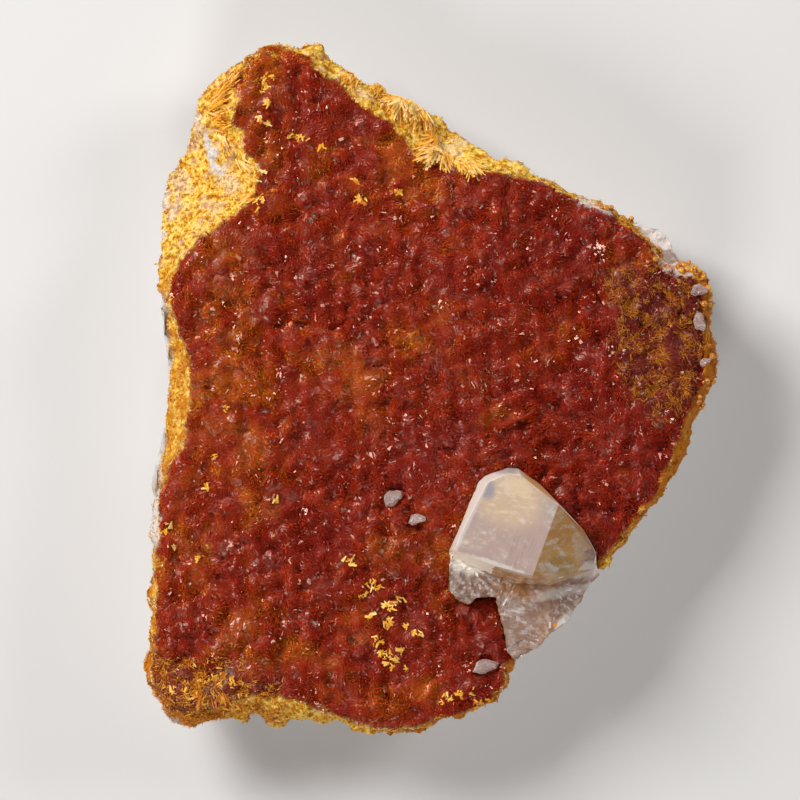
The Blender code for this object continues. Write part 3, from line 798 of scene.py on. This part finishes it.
class SPECIMEN_OT_crust(bpy.types.Operator):
    """Round the crust's lumps, and set its top in by the height of the blades"""

    bl_idname = "specimen.crust"
    bl_label = "Orpiment crust"

    def execute(self, context):
        crust = copy_of_node("orpiment_crust", "orpiment_crust_lumps")
        apply_modifier(crust, "REMESH", mode="VOXEL", voxel_size=CRUST_CELL * MM)
        apply_modifier(crust, "SMOOTH", factor=0.5, iterations=4)
        mesh = crust.data
        places, normals = corners_of(mesh), normals_of(mesh)
        rim, felt = zone_values(places)
        up = smooth_step(normals[:, 2], 0.0, 0.6)
        height, _ = lumps(places)
        bed = smooth_step(depth_in(places, BARITE_BED), -1.0, 0.0)
        bold = 0.50 + 0.35 * wander(places, 7.0, 14)
        swell = bold * (height - 0.72) * (1.0 - rim) * (1.0 - bed) - 0.12
        crumbs = 0.10 + 0.16 * rim
        grain = crumbs * wander(places, 0.75, 12) + 0.28 * rim * wander(places, 2.0, 13, 3)
        places += normals * ((up * swell + grain * (1.0 - bed)) * MM)[:, None]
        walls = smooth_step(normals[:, 2], 0.65, 0.35) * (places[:, 2] > 11.0 * MM)
        walls *= (rim < 0.3) | (depth_in(places, BARITE_BED) > -1.3)
        places += normals * (walls * BED_CLOSING * MM)[:, None]
        place_corners(mesh, places)
        tone = tone_values(places) * (1.0 - rim) + np.clip(rim_tone_and_light(places), 0.0, 1.0) * rim
        values = {"tone": tone, "rim": rim, "felt": felt, "pale": pale_values(places)}
        for name, each in values.items():
            give_attribute(mesh, name, each)
        mesh.shade_smooth()
        shared = {"roughness": 0.42, "ior": 1.5, "stray": 0.35}
        whole = orpiment_material("orpiment_body", relief=0.12, subsurface=1.0, sheen=0.15, **shared)
        broken = orpiment_material("orpiment_broken", relief=0.3, subsurface=0.0, sheen=0.2, **shared)
        finish_piece(crust, whole, "orpiment", "orpiment_crust")
        mesh.materials.append(broken)
        face_rim = np.zeros(len(mesh.polygons))
        for face in mesh.polygons:
            face_rim[face.index] = rim[face.vertices[0]]
        mesh.polygons.foreach_set("material_index", (face_rim > 0.5).astype(int))
        return {"FINISHED"}


class SPECIMEN_OT_blades(bpy.types.Operator):
    """Grow the druse's blades on the crust's lumps"""

    bl_idname = "specimen.blades"
    bl_label = "Druse blades"

    def execute(self, context):
        settings = context.scene.specimen_druse
        chance = np.random.default_rng(101)
        crust = bpy.data.objects["orpiment_crust_lumps"]
        places, normals = scattered(crust, int(settings.blades * BLADE_TRIES), chance)
        rim, felt = zone_values(places)
        walls = (places[:, 2] > LOW_SIDE[0] * MM) & (depth_in(places, BARITE_BED) > -BED_MARGIN)
        upward = (normals[:, 2] > 0.05) | (walls & (normals[:, 2] > -0.3))
        free = (depth_in(places, BARITE_BED) < 0.8) & (pale_values(places) < 0.5)
        keep = upward & free & (chance.random(len(places)) > 1.15 * rim)
        kept = some_of(keep, settings.blades, chance)
        places, normals, rim, felt = (values[kept] for values in (places, normals, rim, felt))
        count = len(kept)
        tone = tone_values(places) + chance.normal(scale=0.02, size=count)
        gloss = 0.45 + 0.9 * wander(places, 2.4, 15) + chance.normal(scale=0.15, size=count)
        directions, wide = bundled(
            places, normals, spacing=32, tilt=(3, 62), stray=0.17, chance=chance
        )
        walls = (normals[:, 2] < 0.6) & (depth_in(places, BARITE_BED) > -BED_MARGIN)
        directions[walls] = unit(normals[walls] * 0.7 + (0.0, 0.0, 0.8))
        size = chance.lognormal(sigma=0.3, size=count)
        lengths = settings.blade_length * size
        widths = settings.blade_width * size * chance.uniform(0.7, 1.3, count)
        glossy = smooth_step(gloss, 0.62, 0.85)
        sunk = places - directions * (lengths * (0.74 - 0.24 * glossy))[:, None]
        thick = widths * 0.85
        corners = lath_corners(sunk, directions, wide, lengths, widths, thick, tip_share=0.7)
        crisp = 0.25 + 0.65 * glossy
        material = orpiment_material(
            "orpiment_blades", roughness=0.46, ior=1.8, stray=0.1, relief=0.0, subsurface=1.0,
            sheen=0.34, scatter=BLADE_SCATTER,
        )
        parts = math.ceil(count * len(LATH_FACES[6]) / PIECE_TRIANGLES)
        pale = np.zeros(count)
        for part, some in enumerate(np.array_split(np.arange(count), parts)):
            values = {
                "tone": tone[some], "rim": rim[some], "felt": felt[some], "pale": pale[some],
                "gloss": np.clip(gloss[some], 0.0, 1.0),
            }
            name = f"druse_blades_{part + 1}"
            piece = mesh_of_laths(name, corners[some], values, normals[some], crisp[some])
            finish_piece(piece, material, "orpiment")
        return {"FINISHED"}


class SPECIMEN_OT_crumbs(bpy.types.Operator):
    """Cover the broken crust with stubby crumbs, and its steep sides with upright fibres"""

    bl_idname = "specimen.crumbs"
    bl_label = "Rim crumbs and fibres"

    def execute(self, context):
        settings = context.scene.specimen_druse
        chance = np.random.default_rng(102)
        crust = bpy.data.objects["orpiment_crust_lumps"]
        places, normals = scattered(crust, settings.fibres * CRUMB_TRIES, chance)
        rim = zone_values(places)[0]
        broken = (rim > 0.35) & (normals[:, 2] > -0.35) & (depth_in(places, BARITE_BED) < 0.0)
        broken &= (depth_in(places, EVEN_RIDGE) < 0.0) | (chance.random(len(places)) < 0.25)
        kept = some_of(broken, settings.fibres, chance)
        places, normals = places[kept], normals[kept]
        count = len(kept)
        steep = smooth_step(normals[:, 2], 0.85, 0.35)
        up = np.array([0.0, 0.0, 1.0]) - normals * normals[:, 2:]
        up /= np.maximum(np.linalg.norm(up, axis=1, keepdims=True), 0.25)
        loose, side = bundled(
            places, normals, spacing=7, tilt=(45, 86), stray=0.3, chance=chance
        )
        directions = unit(
            loose * (1.0 - 0.9 * steep)[:, None] + (up + 0.06 * normals) * steep[:, None]
        )
        wide = unit(np.cross(np.cross(directions, side), directions))
        long = settings.fibre_length * (0.36 + 0.42 * steep)
        lengths = long * chance.lognormal(sigma=0.3, size=count)
        widths = chance.uniform(0.11, 0.26, count) * MM * (1.1 - 0.5 * steep)
        sunk = places - directions * lengths[:, None] * 0.6 - normals * 0.06 * MM
        thick = widths * 0.7
        corners = lath_corners(sunk, directions, wide, lengths, widths, thick, tip_share=0.7)
        # Painted highlight: the steep fibres along the rim's outline are lighter, as lit edges
        tone = rim_tone_and_light(places) + 0.14 * steep + chance.normal(scale=0.10, size=count)
        values = {
            "tone": np.clip(tone, 0, 1), "rim": np.ones(count), "felt": np.zeros(count),
            "pale": pale_values(places),
        }
        crisp = np.full(count, OWN_SHADING)
        piece = mesh_of_laths("rim_crumbs", corners, values, normals, crisp)
        material = orpiment_material(
            "orpiment_crumbs", roughness=0.1, ior=1.6, stray=0.3, relief=0.0, subsurface=0.0, sheen=0.2
        )
        finish_piece(piece, material, "orpiment")
        return {"FINISHED"}


class SPECIMEN_OT_gold(bpy.types.Operator):
    """Set the gold laths, the sheaves over the rim and the felt of fine needles"""

    bl_idname = "specimen.gold"
    bl_label = "Gold laths"

    def execute(self, context):
        chance = np.random.default_rng(103)
        crust = bpy.data.objects["orpiment_crust_lumps"]
        needles = context.scene.specimen_druse.needles
        self.beads(crust, chance)
        made = {
            "gold_laths": self.patches(crust, chance),
            "rim_sheaves": self.sheaves(crust, chance),
            "felt_needles": self.needles(crust, needles, chance),
        }
        material = gold_material()
        for name, (corners, tone, normals) in made.items():
            crisp = np.full(len(corners), OWN_SHADING)
            piece = mesh_of_laths(name, corners, {"tone": tone}, normals, crisp)
            finish_piece(piece, material, "orpiment")
        return {"FINISHED"}

    def beads(self, crust, chance):
        """Round amber beads, each its own small sphere, joined in one piece."""
        spots = []
        for x, y, count in BEADS:
            spots += list((chance.normal(scale=0.42, size=(count, 2)) + (x, y)) * MM)
        places, normals, _ = self.landed(crust, spots)
        made = []
        for place, normal in zip(places, normals, strict=True):
            size = chance.uniform(0.18, 0.46) * MM
            deselect_all()
            bpy.ops.mesh.primitive_ico_sphere_add(
                subdivisions=2, radius=size, location=place + normal * 0.12 * MM
            )
            bpy.ops.object.transform_apply(location=True)
            made.append(bpy.context.active_object)
        deselect_all()
        for bead in made:
            bead.select_set(True)
        bpy.context.view_layer.objects.active = made[0]
        bpy.ops.object.join()
        beads = bpy.context.active_object
        beads.name = beads.data.name = "amber_beads"
        mesh = beads.data
        places = corners_of(mesh)
        places += normals_of(mesh) * (0.08 * MM * wander(places, 0.3, 35))[:, None]
        mesh.vertices.foreach_set("co", places.reshape(-1))
        mesh.shade_smooth()
        material, tree, shader = new_material("amber_beads")
        colour = ramp(tree, object_noise(tree, 0.6), [
            (0.35, (0.34, 0.07, 0.006)), (0.50, (0.68, 0.24, 0.012)), (0.66, (0.80, 0.38, 0.03)),
        ])
        tree.links.new(colour, shader.inputs["Base Color"])
        shader.inputs["Roughness"].default_value = 0.2
        shader.inputs["IOR"].default_value = 1.6
        finish_piece(beads, material, "orpiment")

    def landed(self, crust, spots):
        """Each spot dropped on to the crust, the crust's normal there, and which spots met it."""
        places, normals, met = [], [], []
        for x, y in spots:
            hit, place, normal, _ = crust.ray_cast(Vector((x, y, 0.1)), Vector((0, 0, -1)))
            met.append(hit)
            if hit:
                places.append(place)
                normals.append(normal)
        if not places:
            raise RuntimeError("none of these spots lies on the crust")
        return np.array(places), np.array(normals), np.array(met)

    def patches(self, crust, chance):
        spots = []
        for x, y, half_x, half_y, count in GOLD_PATCHES:
            groups = chance.normal(scale=0.5, size=(max(1, count // 2), 2)) * (half_x, half_y)
            picked = groups[chance.integers(len(groups), size=int(count * 2.2))]
            spots += list((picked + chance.normal(scale=0.16, size=picked.shape) + (x, y)) * MM)
        places, normals, _ = self.landed(crust, spots)
        count = len(places)
        low = places[:, 1] < -31.0 * MM
        directions = leaning(normals, chance.uniform(40, 84, count), chance)
        lengths = chance.lognormal(sigma=0.35, size=count) * np.where(low, 0.42, 0.52) * MM
        widths = lengths * chance.uniform(0.26, 0.46, count)
        lift = places + normals * 0.18 * MM - directions * lengths[:, None] * 0.45
        wide = unit(np.cross(directions, normals))
        thick = widths * 0.5
        corners = lath_corners(lift, directions, wide, lengths, widths, thick, tip_share=0.5)
        tone = chance.normal(0.55, 0.22, count) - 0.15 * low
        return corners, np.clip(tone, 0.1, 1.0), normals

    def sheaves(self, crust, chance):
        made, tones, grounds = [], [], []
        for ax, ay, bx, by, first, last, long, short, count, bright in SHEAVES:
            bundles = max(3, count // 12)
            home = np.sort(chance.random(bundles))[chance.integers(bundles, size=count)]
            share = np.clip(home + chance.normal(scale=0.25 / bundles, size=count), 0.0, 1.0)
            stray = chance.normal(scale=0.12, size=(count, 2))
            spots = np.outer(1.0 - share, (ax, ay)) + np.outer(share, (bx, by)) + stray
            turns = np.radians(first + (last - first) * home + chance.normal(scale=2.0, size=count))
            flat = np.stack([np.cos(turns), np.sin(turns), np.zeros(count)], axis=1)
            starts = chance.uniform(-0.2, 0.6, (count, 1))
            places, normals, met = self.landed(crust, (spots + flat[:, :2] * starts) * MM)
            flat, share, count = flat[met], share[met], len(places)
            along = flat - normals * (flat * normals).sum(1)[:, None]
            directions = unit(unit(along) + normals * chance.uniform(0.0, 0.12, (count, 1)))
            length = (long + (short - long) * share) * chance.uniform(0.55, 1.0, count)
            widths = chance.uniform(0.12, 0.22, count) * (0.5 + 0.7 * bright) * MM
            wide = unit(np.cross(directions, normals))
            lift = places + normals * chance.uniform(0.08, 0.34, (count, 1)) * MM
            thick = widths * 0.7
            made.append(
                lath_corners(lift, directions, wide, length * MM, widths, thick, tip_share=0.85)
            )
            tones.append(bright + chance.normal(scale=0.2, size=count))
            grounds.append(unit(normals + (0.0, 0.0, 1.5)))
        tone = np.clip(np.concatenate(tones), 0.0, 1.0)
        return np.concatenate(made), tone, np.concatenate(grounds)

    def needles(self, crust, count, chance):
        """Needles that lie in small tufts, each tuft spreading from a middle of its own."""
        places, normals = scattered(crust, count * NEEDLE_TRIES, chance)
        near = np.maximum(depth_in(places, FELT_RIGHT), depth_in(places, FELT_LOWER)) > -2.5
        places, normals = places[near], normals[near]
        felt = zone_values(places)[1]
        clumps = smooth_step(wander(places, 1.3, 33, 3), -0.4, 0.8)
        keep = (normals[:, 2] > 0.1) & (chance.random(len(places)) < felt * clumps)
        kept = some_of(keep, count, chance)
        places, normals = places[kept], normals[kept]
        count = len(kept)
        middles = places[chance.choice(count, count // 14, replace=False)]
        nearest = nearest_of(places, middles)
        away = unit(places - middles[nearest] + chance.normal(scale=0.12 * MM, size=places.shape))
        directions = unit(away + normals * chance.uniform(0.15, 0.6, (count, 1)))
        low = places[:, 1] < -25.0 * MM
        lengths = chance.uniform(0.3, 0.8, count) * MM
        widths = chance.uniform(0.035, 0.075, count) * (1.0 + 0.7 * low) * MM
        lift = places + normals * 0.15 * MM - directions * lengths[:, None] * 0.3
        wide = across(directions, chance)
        corners = needle_corners(lift, directions, wide, lengths, widths)
        tone = np.clip(chance.normal(0.15, 0.2, count) + 0.06 * low, 0.0, 1.0)
        return corners, tone, normals


def gold_material():
    made, tree, shader = new_material("gold_laths")
    streaks = object_noise(tree, 0.25, 3.0, 0.6)
    uneven = maths(tree, "MULTIPLY", maths(tree, "SUBTRACT", streaks, 0.5), 0.5)
    colour = ramp(tree, maths(tree, "ADD", attribute(tree, "tone"), uneven), [
        (0.0, (0.50, 0.08, 0.008)), (0.3, (0.82, 0.33, 0.015)), (0.65, (0.99, 0.54, 0.06)),
        (1.0, (1.0, 0.74, 0.30)),
    ])
    tree.links.new(colour, shader.inputs["Base Color"])
    shader.inputs["Roughness"].default_value = 0.4
    shader.inputs["IOR"].default_value = 1.6
    shader.inputs["Specular IOR Level"].default_value = 0.2
    return made


def barite_group():
    """Veils, streaks, wisps and striations, which all of the barite's materials share."""
    group = bpy.data.node_groups.get("barite_veils")
    if group:
        return group
    group = bpy.data.node_groups.new("barite_veils", "ShaderNodeTree")
    for name in ("Veil", "Streak", "Lines", "Wisp", "Height"):
        group.interface.new_socket(name, in_out="OUTPUT", socket_type="NodeSocketFloat")
    result = group.nodes.new("NodeGroupOutput")
    lined = object_noise(group, 0.5, 3.0, 0.6, (2.0, 0.0, 0.0), (8.0, 0.5, 8.0), 70)
    group.links.new(between(group, lined, 0.50, 0.66), result.inputs["Lines"])
    veils = object_noise(group, 1.5, 8.0, 0.68, (2.0, 5.0, 1.0), (1.5, 0.8, 1.0), -15)
    group.links.new(between(group, veils, 0.50, 0.66), result.inputs["Veil"])
    streaks = object_noise(group, 0.55, 5.0, 0.6, (1.0, 3.0, 0.0), (3.2, 0.75, 3.0), -8)
    group.links.new(between(group, streaks, 0.47, 0.70), result.inputs["Streak"])
    ridges = object_noise(group, 2.2, 6.0, 0.6, (7.0, 3.0, 0.0), (1.5, 0.7, 1.0), 20)
    crest = maths(group, "ABSOLUTE", maths(group, "SUBTRACT", ridges, 0.5))
    patchy = between(group, veils, 0.40, 0.56)
    wisps = maths(group, "MULTIPLY", between(group, crest, 0.05, 0.0), patchy)
    group.links.new(wisps, result.inputs["Wisp"])
    lines = object_noise(group, 0.25, 2.0, 0.5, (0, 0, 0), (1.0, 40.0, 40.0), -20)
    fine = object_noise(group, 0.5, 5.0, 0.65)
    height = maths(group, "ADD", maths(group, "MULTIPLY", lines, 0.5), fine)
    group.links.new(height, result.inputs["Height"])
    return group


def barite_material(name, tint, veiled, finish, marks_shares, patches):
    """Clear or milky barite. Its finish is the roughness, transmission and relief; its marks are
    the shares of veil and wisp. Patches are soft ovals of another colour inside the crystal, some
    of them painted reflections, each with its middle, reach, turn, strength, colour, raggedness
    and the marks it is broken by."""
    made, tree, shader = new_material(name)
    roughness, transmission, relief = finish
    marks = tree.nodes.new("ShaderNodeGroup")
    marks.node_tree = barite_group()
    colour = tuple(tint)
    stray = maths(tree, "SUBTRACT", object_noise(tree, 0.8, 6.0, 0.65, (5.0, 2.0, 0.0)), 0.5)
    for middle, reach, turn, strength, glow, ragged, streaky in patches:
        oval = patch(tree, middle, reach, turn)
        edge = maths(tree, "ADD", oval, maths(tree, "MULTIPLY", stray, ragged))
        edge = between(tree, edge, 0.05, 0.55)
        if streaky:
            edge = maths(tree, "MULTIPLY", edge, marks.outputs[streaky])
        colour = blend(tree, maths(tree, "MULTIPLY", edge, strength), colour, glow)
    veil, wisp = marks_shares
    share = maths(tree, "MULTIPLY", marks.outputs["Veil"], veil)
    share = maths(tree, "MAXIMUM", share, maths(tree, "MULTIPLY", marks.outputs["Wisp"], wisp))
    tree.links.new(blend(tree, share, colour, tuple(veiled)), shader.inputs["Base Color"])
    rough = maths(tree, "ADD", maths(tree, "MULTIPLY", share, 0.4), roughness)
    tree.links.new(rough, shader.inputs["Roughness"])
    tree.links.new(bump(tree, marks.outputs["Height"], relief, 0.05), shader.inputs["Normal"])
    shader.inputs["IOR"].default_value = 1.64
    shader.inputs["Transmission Weight"].default_value = transmission
    return made


class SPECIMEN_OT_barite(bpy.types.Operator):
    """Wear the barite crystal's edges, break its root and give its faces their clearness"""

    bl_idname = "specimen.barite"
    bl_label = "Barite crystal"

    def execute(self, context):
        settings = context.scene.specimen_barite
        crystal = copy_of_node("barite_crystal", "barite_crystal_faces")
        self.wear(crystal, settings.edge)
        self.refine(crystal, levels=3)
        self.roughen(crystal, rough=0.2, shares=self.root_shares)
        mesh = crystal.data
        materials = self.materials(settings)
        finish_piece(crystal, materials[0], "barite", "barite_crystal")
        for material in materials[1:]:
            mesh.materials.append(material)
        end, along = np.array(RIDGE[1]), np.subtract(RIDGE[0], RIDGE[1])
        for face in mesh.polygons:
            x, y, z = face.center / MM
            beyond = along[1] * (x - end[0]) - along[0] * (y - end[1]) > 0.0
            plan = (x, (y + WHITE_SHEAR * x) * WHITE_STRETCH)
            if math.dist(plan, WHITE_PATCH) < WHITE_REACH and face.normal.z < TOP_FACING:
                face.material_index = WHITE
            elif z < FROSTED_TOP and face.normal.z > 0.55:
                face.material_index = FROSTED
            elif face.normal.z > TOP_FACING and not beyond:
                face.material_index = MILKY
            elif y < BAND_LINE[0] + BAND_LINE[1] * x or (beyond and face.normal.z > 0.25):
                face.material_index = CLEAR
            else:
                face.material_index = BEVEL
        for node in sorted(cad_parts):
            if node.startswith(("barite_flake", "barite_grain")):
                small = copy_of_node(node, f"{node}_faces")
                self.wear(small, settings.edge * 0.4)
                self.refine(small, levels=2)
                self.roughen(small, rough=0.16, shares=lambda places: 1.0)
                finish_piece(small, self.small_material(), "barite", node)
        return {"FINISHED"}

    def small_material(self):
        return bpy.data.materials.get("barite_small") or barite_material(
            "barite_small", (0.72, 0.50, 0.44), (0.88, 0.76, 0.71), (0.2, 0.6, 0.8), (0.5, 0.6), []
        )

    def wear(self, piece, width):
        make_active(piece)
        bpy.ops.object.mode_set(mode="EDIT")
        bpy.ops.mesh.select_all(action="SELECT")
        bpy.ops.mesh.dissolve_limited(angle_limit=math.radians(1.0))
        bpy.ops.object.mode_set(mode="OBJECT")
        apply_modifier(
            piece, "BEVEL", width=width, segments=2, limit_method="ANGLE",
            angle_limit=math.radians(25),
        )

    def refine(self, piece, levels):
        """Cuts each face into triangles fine enough to be broken up."""
        apply_modifier(piece, "TRIANGULATE")
        apply_modifier(
            piece, "SUBSURF", subdivision_type="SIMPLE", levels=levels, render_levels=levels
        )

    def roughen(self, piece, rough, shares):
        """Breaks up a piece by a depth in millimetres, times each corner's share of it."""
        mesh = piece.data
        places, normals = corners_of(mesh), normals_of(mesh)
        moved = rough * shares(places) * wander(places, 0.7, 41, 3) * MM
        place_corners(mesh, places + normals * moved[:, None])
        mesh.shade_flat()

    def root_shares(self, places):
        """From 1 on the broken root to 0 on the crystal's clean faces."""
        past = places[:, 1] / MM - BAND_LINE[0] - BAND_LINE[1] * places[:, 0] / MM
        return smooth_step(places[:, 2] / MM, *ROOT_TOP) * smooth_step(past, 0.6, -0.4)

    def materials(self, settings):
        """The crystal's materials, in the order of the names from MILKY to WHITE."""
        white, pale = (0.92, 0.84, 0.72), (0.82, 0.76, 0.70)
        warm_reflection, glint, grey = (0.72, 0.51, 0.34), (0.90, 0.68, 0.42), (0.37, 0.33, 0.36)
        brown, olive, mauve = (0.66, 0.30, 0.07), (0.48, 0.29, 0.06), (0.62, 0.42, 0.28)
        milky = barite_material(
            "barite_milky", settings.milky, pale, (0.14, 0.3, 0.2), (0.22, 0.0), [
                # The broad warm patch and the three glint patches are painted reflections of light
                # inside the crystal
                ((8.6, -12.2), (5.6, 4.4), -20, 0.95, warm_reflection, 0.3, ""),
                ((8.5, -12.0), (4.2, 3.2), -15, 0.9, glint, 0.5, "Streak"),
                ((9.6, -10.8), (2.4, 1.4), -10, 0.6, glint, 1.4, ""),
                ((6.0, -10.8), (1.6, 1.8), 30, 0.95, grey, 1.0, ""),
                ((4.8, -16.6), (2.8, 1.8), -15, 0.6, glint, 1.2, "Streak"),
                ((12.8, -13.2), (1.4, 1.8), 30, 0.5, (0.50, 0.42, 0.34), 0.5, ""),
                ((4.1, -14.2), (0.65, 30.0), -25, 0.9, (0.74, 0.66, 0.60), 0.1, ""),
                ((7.4, -19.35), (5.4, 0.5), -19, 0.9, (0.80, 0.72, 0.64), 1.6, ""),
                ((9.6, -17.6), (2.6, 3.0), -20, 0.6, (0.42, 0.28, 0.25), 0.6, "Lines"),
            ],
        )
        bevel = barite_material(
            "barite_bevel", (0.98, 0.87, 0.76), white, (0.5, 0.0, 0.05), (0.1, 0.0), [
                ((12.3, -10.4), (3.6, 2.8), -45, 0.9, (0.93, 0.50, 0.14), 0.3, ""),
                ((8.4, -8.6), (2.4, 1.2), 0, 0.8, (0.46, 0.42, 0.40), 0.5, ""),
            ],
        )
        clear = barite_material(
            "barite_clear", settings.clear, pale, (0.08, 0.35, 0.45), (0.42, 0.45), [
                ((14.4, -15.6), (2.4, 2.4), 20, 0.8, brown, 0.9, ""),
                ((14.2, -19.4), (2.4, 1.6), 0, 0.8, olive, 0.9, ""),
                ((17.4, -18.2), (1.8, 3.0), 20, 0.8, mauve, 0.9, ""),
                ((13.2, -18.0), (2.2, 3.4), 20, 0.9, pale, 1.6, "Veil"),
                ((15.4, -18.8), (3.0, 0.9), 25, 0.6, pale, 1.4, "Streak"),
                ((9.8, -21.0), (4.8, 1.8), -8, 0.95, (0.60, 0.25, 0.06), 0.8, ""),
                ((7.6, -19.3), (5.0, 0.45), -20, 0.9, white, 0.9, ""),
                ((3.9, -18.9), (3.6, 1.9), -12, 1.0, white, 0.8, ""),
            ],
        )
        frosted = barite_material(
            "barite_frosted", settings.frosted, pale, (0.3, 0.2, 0.6), (0.22, 0.3), [
                ((10.6, -21.9), (4.6, 2.0), -5, 0.95, (0.48, 0.21, 0.07), 1.0, ""),
                ((12.8, -26.5), (1.6, 3.2), 10, 0.5, (0.46, 0.26, 0.14), 1.2, ""),
                ((4.2, -19.5), (2.8, 1.2), -10, 1.0, white, 0.9, ""),
                ((14.6, -22.4), (5.0, 0.8), 12, 0.6, pale, 1.6, ""),
                ((17.2, -20.0), (2.4, 1.2), 20, 0.7, pale, 1.2, ""),
                ((9.0, -24.6), (2.4, 2.0), 0, 0.8, pale, 2.0, "Streak"),
                ((14.6, -26.0), (0.9, 2.4), -35, 0.8, pale, 0.5, ""),
                ((13.75, -26.0), (0.32, 0.32), 0, 1.0, (0.90, 0.35, 0.03), 0.3, ""),
            ],
        )
        cleaved = barite_material(
            "barite_cleaved", (1.0, 0.83, 0.64), (1.0, 0.92, 0.80), (0.3, 0.0, 0.8), (0.6, 0.5), []
        )
        return milky, bevel, clear, frosted, cleaved


class SPECIMEN_OT_stage(bpy.types.Operator):
    """Lay the pale floor, hang the soft lights and set the camera over the druse"""

    bl_idname = "specimen.stage"
    bl_label = "Floor, lights and camera"

    def execute(self, context):
        settings = context.scene.specimen_stage
        context.scene.view_settings.view_transform = "Standard"
        deselect_all()
        bpy.ops.mesh.primitive_plane_add(size=3.0, location=(0, 0, 0))
        floor = context.active_object
        floor.name = "floor"
        made, _, shader = new_material("pale_floor")
        shader.inputs["Base Color"].default_value = (*settings.floor, 1.0)
        shader.inputs["Roughness"].default_value = 0.9
        floor.data.materials.append(made)
        world = bpy.data.worlds.new("studio")
        world.use_nodes = True
        world.node_tree.nodes["Background"].inputs["Color"].default_value = (0.9, 0.93, 1.0, 1.0)
        world.node_tree.nodes["Background"].inputs["Strength"].default_value = 0.07
        context.scene.world = world
        self.light("key", (-0.34, 0.30, 0.42), 0.26, 3.8)
        self.light("side", (0.40, 0.20, 0.30), 0.16, 0.8)
        self.light("front", (-0.10, -0.42, 0.34), 0.20, 1.2)
        self.camera(context, settings)
        return {"FINISHED"}

    def light(self, name, place, size, power):
        lamp = bpy.data.lights.new(name, "AREA")
        lamp.shape = "SQUARE"
        lamp.size = size
        lamp.energy = power
        made = bpy.data.objects.new(name, lamp)
        made.location = place
        made.rotation_mode = "QUATERNION"
        made.rotation_quaternion = (-Vector(place)).to_track_quat("-Z", "Y")
        bpy.context.scene.collection.objects.link(made)

    def camera(self, context, settings):
        druse_height = 14.5 * MM
        view_middle = (-3.3 * MM, -1.3 * MM)
        lens = bpy.data.cameras.new("over_the_druse")
        lens.sensor_width = 36.0
        lens.lens = lens.sensor_width * settings.view_height / settings.view_width
        lens.clip_start = 0.01
        made = bpy.data.objects.new("camera", lens)
        made.location = (*view_middle, druse_height + settings.view_height)
        context.scene.collection.objects.link(made)
        context.scene.camera = made


class SPECIMEN_PT_panel(bpy.types.Panel):
    """Lists the specimen's operators and their settings"""

    bl_idname = "SPECIMEN_PT_panel"
    bl_label = "Orpiment and barite"
    bl_space_type = "VIEW_3D"
    bl_region_type = "UI"
    bl_category = "Specimen"

    def draw(self, context):
        for name in GROUPS:
            group = getattr(context.scene, name)
            box = self.layout.box()
            for key in group.__annotations__:
                box.prop(group, key)
        for operator in OPERATORS:
            self.layout.operator(operator.bl_idname)


OPERATORS = (
    SPECIMEN_OT_host_rock, SPECIMEN_OT_crust, SPECIMEN_OT_blades, SPECIMEN_OT_crumbs,
    SPECIMEN_OT_gold, SPECIMEN_OT_barite, SPECIMEN_OT_stage,
)
GROUPS = {
    "specimen_druse": DruseSettings,
    "specimen_rim": RimSettings,
    "specimen_barite": BariteSettings,
    "specimen_stage": StageSettings,
}


def register():
    for each in (*GROUPS.values(), *OPERATORS, SPECIMEN_PT_panel):
        bpy.utils.register_class(each)
    for name, group in GROUPS.items():
        setattr(bpy.types.Scene, name, PointerProperty(type=group))


def unregister():
    for name in GROUPS:
        delattr(bpy.types.Scene, name)
    for each in reversed((*GROUPS.values(), *OPERATORS, SPECIMEN_PT_panel)):
        bpy.utils.unregister_class(each)


def main():
    register()
    bpy.ops.specimen.host_rock()
    bpy.ops.specimen.crust()
    bpy.ops.specimen.blades()
    bpy.ops.specimen.crumbs()
    bpy.ops.specimen.gold()
    bpy.ops.specimen.barite()
    bpy.ops.specimen.stage()


if __name__ == "__main__":
    main()
